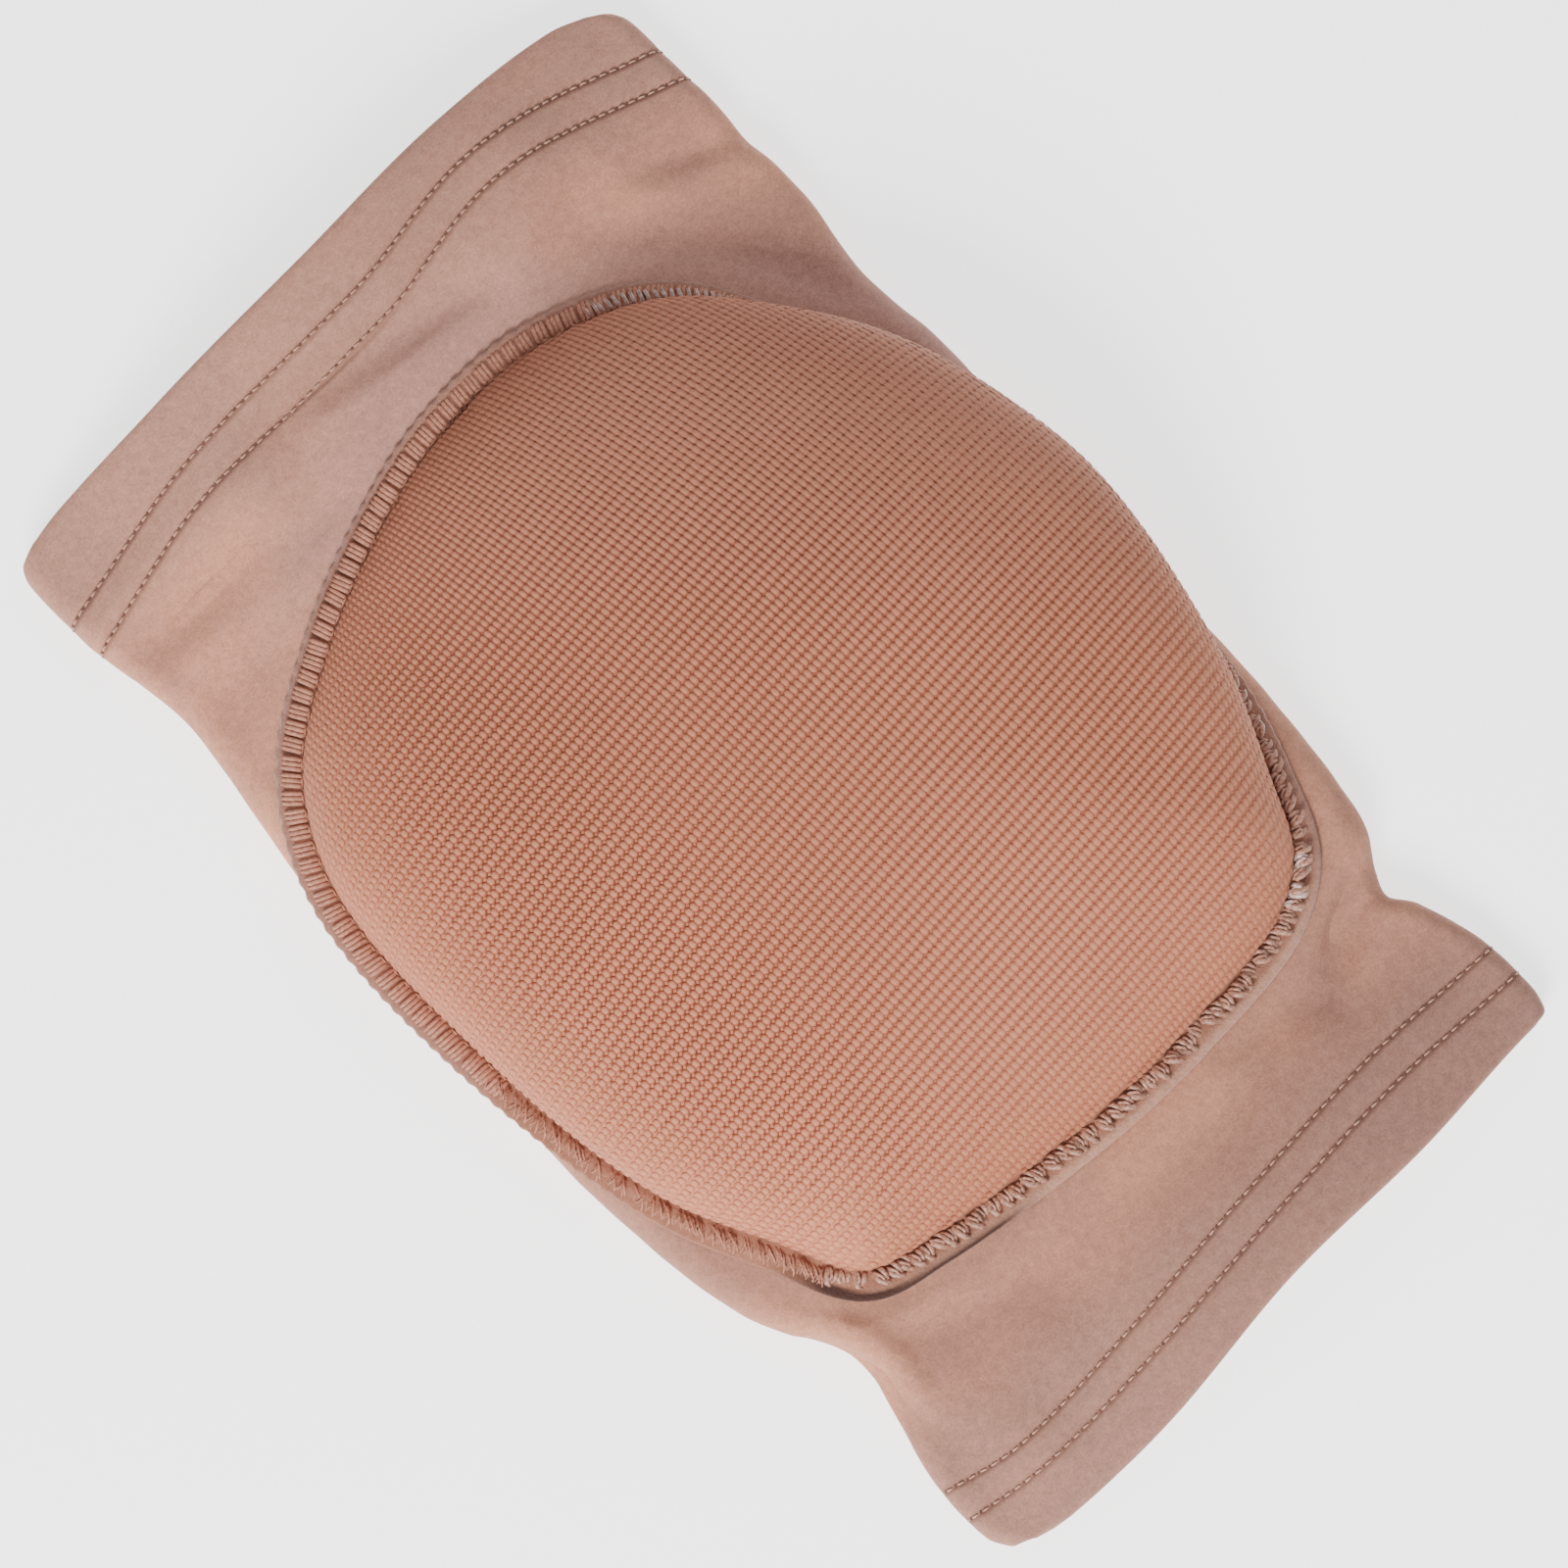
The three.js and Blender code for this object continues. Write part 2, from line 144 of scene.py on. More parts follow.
def newObject(name, points, faces=()):  # points in metres
    mesh = bpy.data.meshes.new(name)
    mesh.from_pydata(points, [], faces)
    return addObject(name, mesh)


def newPiece(name, points, faces, material):
    piece = newObject(name, onFrame(points).tolist(), [list(map(int, face)) for face in faces])
    piece.data.shade_smooth()
    piece.data.materials.append(material)
    return piece


def addAttribute(piece, name, values, kind="FLOAT"):
    layer = piece.data.attributes.new(name, kind, "POINT")
    key = "value" if kind == "FLOAT" else "vector"
    layer.data.foreach_set(key, np.asarray(values, np.float32).ravel())


def wrapFaces(loopCount, aroundCount, closed=True):  # quads over loops of points, outward
    rows = np.arange(loopCount if closed else loopCount - 1)[:, None]
    steps = np.arange(aroundCount)[None, :]
    nextRow, nextStep = (rows + 1) % loopCount, (steps + 1) % aroundCount
    a, b = rows * aroundCount + steps, rows * aroundCount + nextStep
    c, d = nextRow * aroundCount + nextStep, nextRow * aroundCount + steps
    return np.stack([a, d, c, b], -1).reshape(-1, 4)


# Materials
def newMaterial(name, roughness, **settings):
    material = bpy.data.materials.new(name)
    material.use_nodes = True
    shader = material.node_tree.nodes["Principled BSDF"]
    for label, value in {"Roughness": roughness, **settings}.items():
        shader.inputs[label.replace("_", " ")].default_value = value
    return material, material.node_tree


def dress(material, colour, normal):  # its colour and relief, into the shader
    links = material.node_tree.links
    shader = material.node_tree.nodes["Principled BSDF"]
    links.new(colour, shader.inputs["Base Color"])
    links.new(normal, shader.inputs["Normal"])
    return material


def feed(tree, socket, value):  # a link from another node, or a plain value
    if hasattr(value, "is_output"):
        tree.links.new(value, socket)
    else:
        socket.default_value = value


def addNode(tree, kind, links=None, **settings):
    node = tree.nodes.new(kind)
    for label, value in settings.items():
        setattr(node, label, value)
    for label, value in (links or {}).items():
        feed(tree, node.inputs[label], value)
    return node


def objectPlace(tree):
    return addNode(tree, "ShaderNodeTexCoord").outputs["Object"]


def markOf(tree, name):  # a number that the mesh carries at its points
    return addNode(tree, "ShaderNodeAttribute", attribute_name=name).outputs["Fac"]


def noiseAt(tree, scale, detail, roughness=0.5):
    links = {"Vector": objectPlace(tree), "Scale": scale, "Detail": detail, "Roughness": roughness}
    return addNode(tree, "ShaderNodeTexNoise", links).outputs["Fac"]


def rampOf(tree, value, *stops):  # stops are (place, colour)
    node = addNode(tree, "ShaderNodeValToRGB", {"Fac": value})
    elements = node.color_ramp.elements
    while len(elements) < len(stops):
        elements.new(0.5)
    for element, (place, colour) in zip(elements, stops):
        element.position, element.color = place, colour
    return node.outputs["Color"]


def mathOf(tree, operation, a, b, clamp=False):
    return addNode(tree, "ShaderNodeMath", {0: a, 1: b}, operation=operation, use_clamp=clamp).outputs[0]


def plus(tree, a, b):
    return mathOf(tree, "ADD", a, b)


def times(tree, a, b):
    return mathOf(tree, "MULTIPLY", a, b)


def less(tree, a, b):
    return mathOf(tree, "SUBTRACT", a, b)


def mixColour(tree, share, a, b, blend="MIX"):
    node = addNode(tree, "ShaderNodeMix", data_type="RGBA", blend_type=blend)
    for label, value in {"Factor": share, "A": a, "B": b}.items():
        feed(tree, next(s for s in node.inputs if s.name == label and s.enabled), value)
    return next(s for s in node.outputs if s.enabled)


def shadeBy(tree, colour, value, low, high):  # low and high are (place, red, green, blue)
    stops = [(place, (*shade, 1)) for place, *shade in (low, high)]
    return mixColour(tree, 1.0, colour, rampOf(tree, value, *stops), "MULTIPLY")


def bumpOf(tree, height, depth, strength, normal=None):
    links = {"Height": height, "Distance": depth, "Strength": strength}
    if normal is not None:
        links["Normal"] = normal
    return addNode(tree, "ShaderNodeBump", links).outputs["Normal"]


cloth = {
    "warm": (190, 130, 104),
    "cool": (166, 116, 98),
    "nearRim": (154, 112, 98),
    "rimShare": 0.75,
    # paintedPadShade: painted shade, a greyer, darker cloth colour beside the pad's thigh end, where the
    # pad's shadow falls
    "paintedPadShade": (158, 117, 107),
    "padShadeShare": 0.7,
    # groove: painted shade in the grooves of the stitch rows, mixed in up to grooveShadeShare
    "groove": (122, 78, 62),
    "grooveShadeShare": 0.35,
    "grooveWidth": 0.55,
    "grooveDepth": 0.0005,
    "blotch": 38.0,
    "grain": 2300.0,
    "pill": 620.0,
    "grainDepth": 0.00011,
    "thighwardTonePerMetre": 8.0,
    "roughness": 0.88,
    "sheenTint": (240, 214, 198),
}


def clothMaterial():
    material, tree = newMaterial(
        "stretchJersey", cloth["roughness"], Sheen_Weight=0.18, Sheen_Roughness=0.45,
        Sheen_Tint=tone(*cloth["sheenTint"]), Specular_IOR_Level=0.2,
    )
    blotch = noiseAt(tree, cloth["blotch"], 2.0)
    colour = rampOf(tree, blotch, (0.35, tone(*cloth["cool"])), (0.65, tone(*cloth["warm"])))
    # darker cloth near the rims, and painted shade beside the pad
    for name, most in (("nearRim", cloth["rimShare"]), ("paintedPadShade", cloth["padShadeShare"])):
        colour = mixColour(tree, times(tree, markOf(tree, name), most), colour, tone(*cloth[name]))
    fibre = noiseAt(tree, cloth["grain"], 2.0, 0.6)
    colour = shadeBy(tree, colour, fibre, (0.3, 0.82, 0.82, 0.82), (0.7, 1.1, 1.1, 1.1))
    # the cloth is darker towards the calf end and lighter towards the thigh end
    alongLeg = addNode(tree, "ShaderNodeSeparateXYZ", {"Vector": objectPlace(tree)}).outputs["Y"]
    thighwardTone = mathOf(tree, "ADD", times(tree, alongLeg, cloth["thighwardTonePerMetre"]), 0.5, clamp=True)
    colour = shadeBy(tree, colour, thighwardTone, (0.0, 0.87, 0.88, 0.89), (1.0, 1.15, 1.14, 1.12))
    pill = noiseAt(tree, cloth["pill"], 3.0, 0.6)
    colour = shadeBy(tree, colour, pill, (0.35, 0.9, 0.89, 0.88), (0.65, 1.07, 1.07, 1.07))
    dips = []
    for name in ("rowA", "rowB"):
        away = mathOf(tree, "DIVIDE", markOf(tree, name), cloth["grooveWidth"])
        dips.append(mathOf(tree, "POWER", math.e, times(tree, times(tree, away, away), -1.0)))
    dip = mathOf(tree, "ADD", *dips, clamp=True)
    # painted shade darkens the cloth along the stitch-row grooves
    colour = mixColour(tree, times(tree, dip, cloth["grooveShadeShare"]), colour, tone(*cloth["groove"]))
    normal = bumpOf(tree, fibre, cloth["grainDepth"], 0.6)
    normal = bumpOf(tree, less(tree, 1.0, dip), cloth["grooveDepth"], 0.9, normal)
    return dress(material, colour, normal)


# gap, side and top colour each rib from gap to crest: partly the knit's own deeper ground between the ribs,
# partly painted shade in the gaps
knit = {
    "top": (182, 116, 87),
    "side": (150, 83, 57),
    "gap": (110, 50, 27),
    "courseDark": 0.58,
    "courseFilled": 0.46,
    "waleDark": 0.26,
    "waleOpen": 0.14,
    "deepMore": 0.6,
    # ridgeDark and coolShade: painted shade, the upper part of the knit darker and cooler in tone
    "ridgeDark": 0.16,
    "blotch": 26.0,
    "grain": 2300.0,
    "grainShare": 0.8,
    "grainDepth": 0.00012,
    "coolShade": (0.94, 1.0, 1.1, 1),
    "roughness": 0.72,
    "sheenTint": (240, 200, 180),
}
# what the knit's material reads, with the values of the plain ground under the ribs
knitGround = {"side": 0.7, "tip": 0.7, "ridge": 0.0, "wale": 0.0, "deep": 0.0}


def knitMaterial():
    material, tree = newMaterial(
        "ribbedKnit", knit["roughness"], Sheen_Weight=0.12, Sheen_Roughness=0.4,
        Sheen_Tint=tone(*knit["sheenTint"]), Specular_IOR_Level=0.25,
    )
    side, tip, ridge, wale, deep = (markOf(tree, name) for name in knitGround)
    # painted shade between courses and between wales, more at the lower left where deep is high and less
    # where the course gaps are filled
    courseDark = less(tree, knit["courseDark"], times(tree, ridge, knit["courseFilled"]))
    waleDark = plus(tree, knit["waleDark"], times(tree, wale, knit["waleOpen"]))
    betweenCourses = times(tree, less(tree, 1.0, tip), courseDark)
    betweenWales = times(tree, less(tree, 1.0, side), waleDark)
    dark = plus(tree, betweenCourses, betweenWales)
    dark = times(tree, dark, plus(tree, times(tree, deep, knit["deepMore"]), 1.0))
    fibre = noiseAt(tree, knit["grain"], 2.0, 0.6)
    # ridgeDark paints the upper part of the knit darker, as shade
    crown = less(tree, 1.0, plus(tree, dark, times(tree, ridge, knit["ridgeDark"])))
    crown = plus(tree, crown, times(tree, less(tree, fibre, 0.5), knit["grainShare"]))
    stops = [(place, tone(*knit[name])) for place, name in ((0.05, "gap"), (0.45, "side"), (0.95, "top"))]
    colour = rampOf(tree, crown, *stops)
    blotch = noiseAt(tree, knit["blotch"], 2.0)
    colour = shadeBy(tree, colour, blotch, (0.35, 0.95, 0.94, 0.93), (0.65, 1.02, 1.02, 1.02))
    # painted shade: the upper part of the knit is made cooler in tone
    colour = mixColour(tree, ridge, colour, knit["coolShade"], "MULTIPLY")
    return dress(material, colour, bumpOf(tree, fibre, knit["grainDepth"], 0.7))


# threads: darker and lighter colour, roughness, sheen
threads = {
    "overlockThread": ((146, 90, 69), (188, 127, 102), 0.6, 0.05),
    # paleThreadAndGlint: a pale, shiny thread; on the corner loops its pale colour is painted highlight
    "paleThreadAndGlint": ((164, 126, 112), (214, 188, 178), 0.3, 0.2),
    "loopThread": ((128, 84, 66), (188, 136, 113), 0.35, 0.1),
    "hemThread": ((164, 120, 102), (192, 148, 128), 0.6, 0.15),
    # needleHoleShade: painted shade in the needle holes, laid on as flat dark discs
    "needleHoleShade": ((82, 52, 42), (108, 70, 56), 0.95, 0.0),
}
strands = {"scale": 1700.0, "depth": 0.00015}


def threadMaterial(name, dark, light, roughness, sheen):
    material, tree = newMaterial(
        name, roughness, Sheen_Weight=sheen, Sheen_Roughness=0.3, Specular_IOR_Level=0.5
    )
    strand = noiseAt(tree, strands["scale"], 3.0, 0.7)
    colour = rampOf(tree, strand, (0.35, tone(*dark)), (0.65, tone(*light)))
    return dress(material, colour, bumpOf(tree, strand, strands["depth"], 0.8))


edgeCloth = {
    "inner": (148, 97, 77),
    "rolled": (152, 100, 78),
    # slitShadow: painted shadow in the gap under the lifted outer edge
    "slitShadow": (66, 40, 31),
    "outer": (158, 110, 92),
    "calf": (178, 130, 108),
    "fuzz": 1500.0,
    "fuzzDepth": 0.0004,
}


def edgeMaterial():  # knit under the threads, with the cut cloth edge outside them
    material, tree = newMaterial(
        "edgeCloth", 0.85, Sheen_Weight=0.4, Sheen_Roughness=0.4, Specular_IOR_Level=0.25
    )
    cut = mixColour(tree, markOf(tree, "calfSide"), tone(*edgeCloth["outer"]), tone(*edgeCloth["calf"]))
    colour = mixColour(tree, markOf(tree, "outerSide"), tone(*edgeCloth["inner"]), cut)
    # the rolled edge's own colour, then painted shadow in the gap under the lifted outer edge
    for name in ("rolled", "slitShadow"):
        colour = mixColour(tree, markOf(tree, name + "Side"), colour, tone(*edgeCloth[name]))
    fuzz = noiseAt(tree, edgeCloth["fuzz"], 4.0, 0.7)
    colour = shadeBy(tree, colour, fuzz, (0.3, 0.78, 0.76, 0.75), (0.7, 1.1, 1.1, 1.1))
    return dress(material, colour, bumpOf(tree, fuzz, edgeCloth["fuzzDepth"], 0.8))


# Sleeve: along, left edge, right edge, crest of the front, radius of the side folds
sections = [
    (0.0, 62.31, 68.0, 18.0, 3.48),
    (0.02, 64.99, 69.35, 18.18, 3.6),
    (0.07, 64.99, 69.01, 17.46, 3.78),
    (0.12, 62.31, 65.33, 15.84, 4.08),
    (0.138, 61.31, 62.31, 15.12, 4.32),
    (0.157, 60.3, 64.32, 14.58, 4.56),
    (0.185, 60.64, 67.67, 14.58, 4.8),
    (0.25, 68.52, 71.0, 18.09, 5.52),
    (0.37, 72.78, 73.13, 24.84, 6.0),
    (0.49, 72.78, 73.49, 27.0, 6.0),
    (0.645, 73.13, 75.26, 23.76, 6.0),
    (0.735, 69.94, 74.2, 18.09, 5.4),
    (0.8, 67.53, 76.65, 15.12, 4.8),
    (0.85, 66.8, 76.29, 14.57, 4.5),
    (0.9, 68.99, 76.87, 17.16, 4.2),
    (0.94, 69.72, 76.65, 19.98, 4.08),
    (0.985, 69.72, 76.29, 23.03, 4.02),
    (1.0, 68.26, 74.46, 23.5, 3.96),
]
# across, how far the calf rim and the thigh rim reach out past a straight line
rims = [
    (-1.0, 0.0, -4.2),
    (-0.85, 2.4, -2.4),
    (-0.5, 2.7, -2.4),
    (0.0, -0.6, -2.4),
    (0.5, -0.3, 0.3),
    (0.85, -1.5, 0.0),
    (1.0, -1.8, -3.9),
]
sleeve = {
    "length": 248.0,
    "wall": 1.2,
    "rimRadius": 1.2,
    "frontRound": 1.5,
    "calfHem": 20.0,
    "thighHem": 26.0,
    "ripple": 0.14,
    "groove": 0.28,
    "grooveSpread": 1.5,
    "crease": 1.3,
    "offFloor": (2.0, 8.0),
    "lineStep": 0.85,
    "frontSteps": 132,
    "foldSteps": 14,
    "backSteps": 36,
    "innerSteps": 60,
}
# broad soft folds of the front: path, height, spread
folds = [
    ([(21.9, 95.48), (-14.6, 102.92)], -2.64, 8.8),
    ([(45.26, 106.64), (26.28, 91.76)], 2.16, 8.8),
    ([(-69.35, 81.84), (-32.85, 94.24)], 2.04, 8.0),
    ([(-65.7, 71.92), (-40.15, 81.84)], -1.56, 8.0),
    ([(43.8, 91.76), (62.05, 62.0)], -1.3, 8.0),
    ([(-62.05, -74.4), (-51.1, -111.6)], 2.16, 8.0),
    ([(-58.4, -76.88), (-29.2, -93.0)], -1.8, 8.0),
    ([(45.26, -89.28), (10.95, -94.24)], -1.4, 8.0),
    ([(69.35, -84.32), (43.8, -91.76)], -1.4, 7.2),
]
# finer creases over them, in the same way
creases = [
    ([(30, 88), (52, 86), (59, 71), (63, 63), (74, 40)], -0.6, 4.0),
    ([(55, -82), (36, -96), (20, -104)], 0.5, 4.6),
    ([(-36, -88), (10, -99)], -0.5, 5.0),
    ([(-16.2, 104.3), (4.1, 102.2), (23.9, 99.4)], -1.3, 4.2),
    ([(-19.7, 100.7), (-0.3, 97.6), (22.7, 95.8)], 1.3, 3.2),
    ([(-76.5, 100.6), (-42.4, 101.6), (-20.9, 99.5), (0.0, 96.8)], 1.4, 5.4),
    ([(-75.4, 93.0), (-40.4, 90.6), (-15.4, 88.2)], -1.5, 6.2),
    ([(-72.7, 87.5), (-48.4, 85.1), (-24.3, 83.9)], 1.5, 5.0),
    ([(-77.4, 77.9), (-53.5, 75.8), (-41.5, 75.9)], -0.5, 6.0),
    ([(55.0, 95.0), (71.4, 88.7), (82.6, 84.6)], -0.9, 3.0),
    ([(48.5, 93.2), (60.5, 88.0), (80.3, 77.4)], 0.8, 3.6),
    ([(27.6, 91.1), (43.6, 95.5), (54.3, 100.4)], -1.0, 4.0),
    ([(24.5, 96.5), (38.2, 100.8), (48.9, 105.7)], 0.7, 3.8),
    ([(67.9, -85.2), (59.9, -83.3), (51.3, -86.7), (43.1, -89.3)], -1.8, 3.8),
    ([(71.3, -72.0), (56.1, -78.4), (42.2, -84.9)], 1.3, 4.6),
    ([(45.8, -86.1), (31.5, -88.6), (20.4, -90.8)], -0.9, 3.4),
    ([(69.2, -88.8), (52.5, -93.7), (41.8, -97.4)], 0.7, 3.4),
    ([(-58.3, -71.8), (-55.1, -86.7), (-56.7, -100.4)], 1.4, 2.8),
    ([(-64.8, -71.3), (-60.5, -87.3), (-62.1, -99.9)], -1.8, 3.2),
    ([(-25.2, -88.7), (-54.2, -79.7), (-69.7, -66.5)], 0.8, 3.6),
]
# stitch rows: x, then y of the row near the rim and of the inner one
thighRows = [
    (-73, 104.0, 97.0),
    (-68, 105.2, 98.2),
    (-43, 109.8, 103.4),
    (-25, 110.9, 104.3),
    (8, 111.4, 104.8),
    (34, 115.6, 109.4),
    (54, 114.2, 107.4),
    (73, 109.2, 102.2),
    (77, 108.0, 101.0),
]
calfRows = [
    (-66, -114.6, -108.2),
    (-50, -117.0, -111.6),
    (-24, -116.4, -110.6),
    (7, -113.8, -107.8),
    (39, -112.3, -106.1),
    (67, -113.5, -107.2),
    (70, -113.6, -107.3),
]


def yAt(along, across):
    calfRim = -sleeve["length"] / 2 - between(rims, across)[..., 0]
    thighRim = sleeve["length"] / 2 + between(rims, across)[..., 1]
    return calfRim + (thighRim - calfRim) * along


def frontHeight(section, t):
    bulge = np.maximum(1 - t * t, 0) ** sleeve["frontRound"]
    return 2 * section[..., 3] + (section[..., 2] - 2 * section[..., 3]) * bulge


def seatHeight(x, y):  # height of the sleeve's front, without its folds, below a place of the pad
    along = np.full(np.shape(x), 0.5)
    t = np.zeros(np.shape(x))
    for _ in range(4):
        section = between(sections, along)
        low, high = section[..., 3] - section[..., 0], section[..., 1] - section[..., 3]
        t = np.clip(2 * (x - low) / (high - low) - 1, -1, 1)
        start = yAt(0.0, t)
        along = np.clip((y - start) / (yAt(1.0, t) - start), 0, 1)
    return frontHeight(between(sections, along), t)


def reliefOf(table, x, y, taper=0.0):
    total = np.zeros(np.shape(x))
    for path, height, spread in table:
        away, share = nearPath(x, y, path)
        total += height * np.exp(-((away / spread) ** 2)) * (1 - taper * (2 * share - 1) ** 2)
    return total


def foldHeight(x, y, t):
    fade = smoothStep(outsidePad(x, y), 2.0, 10.0) * (1 - np.abs(t) ** 8)
    return fade * reliefOf(folds, x, y)


def sleeveFace(along, around):  # outer face; around is 0-1 back, 1-2 right fold, 2-3 front, 3-4 left fold
    along, around = np.broadcast_arrays(np.asarray(along, float), np.asarray(around, float) % 4)
    section = between(sections, along)
    stretch, share = np.floor(around), around - np.floor(around)
    fold = section[..., 3]
    low, high = fold - section[..., 0], section[..., 1] - fold
    turn = (share - 0.5) * math.pi
    t = 1 - 2 * share
    x = np.select(
        [stretch == 0, stretch == 1, stretch == 2],
        [low + (high - low) * share, high + fold * np.cos(turn), high + (low - high) * share],
        low - fold * np.cos(turn),
    )
    z = np.select(
        [stretch == 0, stretch == 1, stretch == 2],
        [np.zeros_like(x), fold * (1 + np.sin(turn)), frontHeight(section, t)],
        fold * (1 - np.sin(turn)),
    )
    across = 2 * (x + section[..., 0]) / (section[..., 1] + section[..., 0]) - 1
    y = yAt(along, across)
    front = stretch == 2
    z[front] += foldHeight(x[front], y[front], t[front])
    return np.stack([x, y, z], -1)


def sleeveNormal(along, around):
    step = 1e-3
    longer, shorter = np.clip(along + step, 0, 1), np.clip(along - step, 0, 1)
    lengthwise = sleeveFace(longer, around) - sleeveFace(shorter, around)
    crosswise = sleeveFace(along, around + step) - sleeveFace(along, around - step + 4)
    return unit(np.cross(lengthwise, crosswise))


def rowsAt(table, x):  # where both stitch rows of a hem run
    return between(table, np.clip(x, table[0][0], table[-1][0]))


def rowDistance(points):  # how far a point is from each stitch row of its hem, along the leg
    x, y = points[..., 0], points[..., 1, None]
    return y - np.where(y > 0, rowsAt(thighRows, x), rowsAt(calfRows, x))


def clothRipple(points):  # slight unevenness of soft cloth, its creases and the puckers at the stitch rows
    x, y = points[..., 0], points[..., 1]
    wave = np.sin(x * 0.21 + y * 0.07 + 1.3) * np.sin(y * 0.16 - x * 0.05 + 0.4)
    wave += 0.6 * np.sin(x * 0.33 - y * 0.29) * np.sin(x * 0.12 + y * 0.37 + 2.0)
    grooves = np.exp(-((rowDistance(points) / sleeve["grooveSpread"]) ** 2)).sum(-1)
    creased = sleeve["crease"] * reliefOf(creases, x, y, 1.0) * smoothStep(outsidePad(x, y), 0.0, 4.5)
    return sleeve["ripple"] * wave - sleeve["groove"] * grooves + creased


def hemStops(rim, hem):  # along and depth: round the rim, back along the turned-in ply, then onto the wall
    length, radius, way = sleeve["length"], sleeve["rimRadius"], 2 * rim - 1
    turns = np.linspace(0, math.pi, 7)[1:]
    stops = [(radius * (1 - math.sin(turn)), radius * (1 - math.cos(turn))) for turn in turns]
    stops += [(inward, 2 * radius) for inward in np.linspace(radius, hem, 14)[1:]]
    stops += [(hem + 0.5, sleeve["wall"])]
    return [(rim - way * inward / length, depth) for inward, depth in stops]


def makeSleeve(material):
    length, wall, end = sleeve["length"], sleeve["wall"], sleeve["rimRadius"] / sleeve["length"]
    counts = [sleeve["backSteps"], sleeve["foldSteps"], sleeve["frontSteps"], sleeve["foldSteps"]]
    around = np.concatenate([s + np.arange(count) / count for s, count in enumerate(counts)])
    outer = [(along, 0.0) for along in np.linspace(end, 1 - end, int(length / sleeve["lineStep"]))]
    inside = (1 - (sleeve["thighHem"] + 3) / length, (sleeve["calfHem"] + 3) / length)
    inner = [(along, wall) for along in np.linspace(*inside, sleeve["innerSteps"])]
    stops = outer + hemStops(1.0, sleeve["thighHem"]) + inner + hemStops(0.0, sleeve["calfHem"])[::-1]
    along, depth = np.array(stops).T[..., None]
    normal = sleeveNormal(along, around[None, :])
    points = sleeveFace(along, around[None, :]) - normal * depth[..., None]
    nearEnd, onFace = np.minimum(along, 1 - along) * length, depth < 0.1
    ripple = clothRipple(points) * smoothStep(points[..., 2], *sleeve["offFloor"])
    ripple = ripple * smoothStep(nearEnd, 1.2, 7)
    points = points + normal * (ripple * onFace)[..., None]
    piece = newPiece("sleeveCloth", points.reshape(-1, 3), wrapFaces(*points.shape[:2]), material)
    x, y, z = np.moveaxis(points, -1, 0)
    rows = np.where(onFace[..., None], rowDistance(points), np.where(y > 0, 20.0, -20.0)[..., None])
    # painted shade on the cloth beside the pad's thigh end, where the pad casts its shadow
    paintedPadShade = (1 - smoothStep(outsidePad(x, y), 2, 20)) * smoothStep(0.5 * x + y, 35, 75) * (z > 5)
    marks = {
        "nearRim": 1 - smoothStep(nearEnd, 16, 34),
        "paintedPadShade": paintedPadShade,
        "rowA": rows[..., 0],
        "rowB": rows[..., 1],
    }
    for name, values in marks.items():
        addAttribute(piece, name, np.broadcast_to(values, x.shape))
    return piece


# Pad
pad = {
    "width": 142.0,
    "length": 165.0,
    "height": 48.5,
    "aside": 1.2,
    "ahead": 1.0,
    "sideRound": 0.4,
    "endRound": 0.68,
    "swell": 3.5,
    "gap": 0.3,
    "underGap": 0.6,
    "ground": 0.25,
    "rings": 52,
    "steps": 260,
}
padCentre = np.array([pad["aside"], pad["ahead"]])
# the seam: across and along as shares of half the pad, swell of the dome over it, droop of the edge
padOutline = [
    (1.0, -0.036, 1.0, 1.0),
    (0.975, 0.193, 1.0, 0.4),
    (0.914, 0.427, 1.0, 0.0),
    (0.789, 0.659, 1.0, 0.0),
    (0.595, 0.878, 0.8, 0.0),
    (0.301, 0.988, 0.2, 0.0),
    (-0.017, 0.994, 0.0, 0.0),
    (-0.316, 0.93, 0.0, 0.0),
    (-0.594, 0.825, 0.0, 0.0),
    (-0.842, 0.676, 0.0, 0.0),
    (-0.982, 0.444, 0.0, 0.0),
    (-1.0, -0.036, 0.0, 0.0),
    (-0.921, -0.487, 0.0, 0.0),
    (-0.805, -0.716, 0.0, 0.0),
    (-0.7, -0.885, 0.0, 0.0),
    (-0.53, -0.93, 0.0, 0.0),
    (-0.017, -0.99, 0.0, 0.0),
    (0.283, -0.99, 0.0, 0.0),
    (0.6, -0.96, 0.0, 0.0),
    (0.75, -0.885, 0.1, 0.0),
    (0.83, -0.75, 0.2, 0.0),
    (0.932, -0.51, 0.6, 0.2),
]


def seamCurve(perSpan=60):  # the seam by many small steps: place, swell and droop
    table = np.array(padOutline)
    points = table[:, :2] * [pad["width"] / 2, pad["length"] / 2] + padCentre
    amounts = table[:, 2:]
    t = (np.arange(perSpan) / perSpan)[:, None]
    rows = []
    for i in range(len(points)):
        p0, p1, p2, p3 = (points[(i + k) % len(points)] for k in (-1, 0, 1, 2))
        a0, a1, a2, a3 = (amounts[(i + k) % len(points)] for k in (-1, 0, 1, 2))
        d0, d1, d2 = (np.linalg.norm(b - a) ** 0.5 for a, b in ((p0, p1), (p1, p2), (p2, p3)))
        m1 = ((p1 - p0) / d0 - (p2 - p0) / (d0 + d1) + (p2 - p1) / d1) * d1
        m2 = ((p2 - p1) / d1 - (p3 - p1) / (d1 + d2) + (p3 - p2) / d2) * d1
        amount = np.clip(hermite(t, a1, a2, (a2 - a0) / 2, (a3 - a1) / 2), 0, 1)
        rows.append(np.hstack([hermite(t, p1, p2, m1, m2), amount]))
    return np.vstack(rows)


seamFine = seamCurve()
seamRun = closedRun(seamFine[:, :2])
seamLength = seamRun[-1]


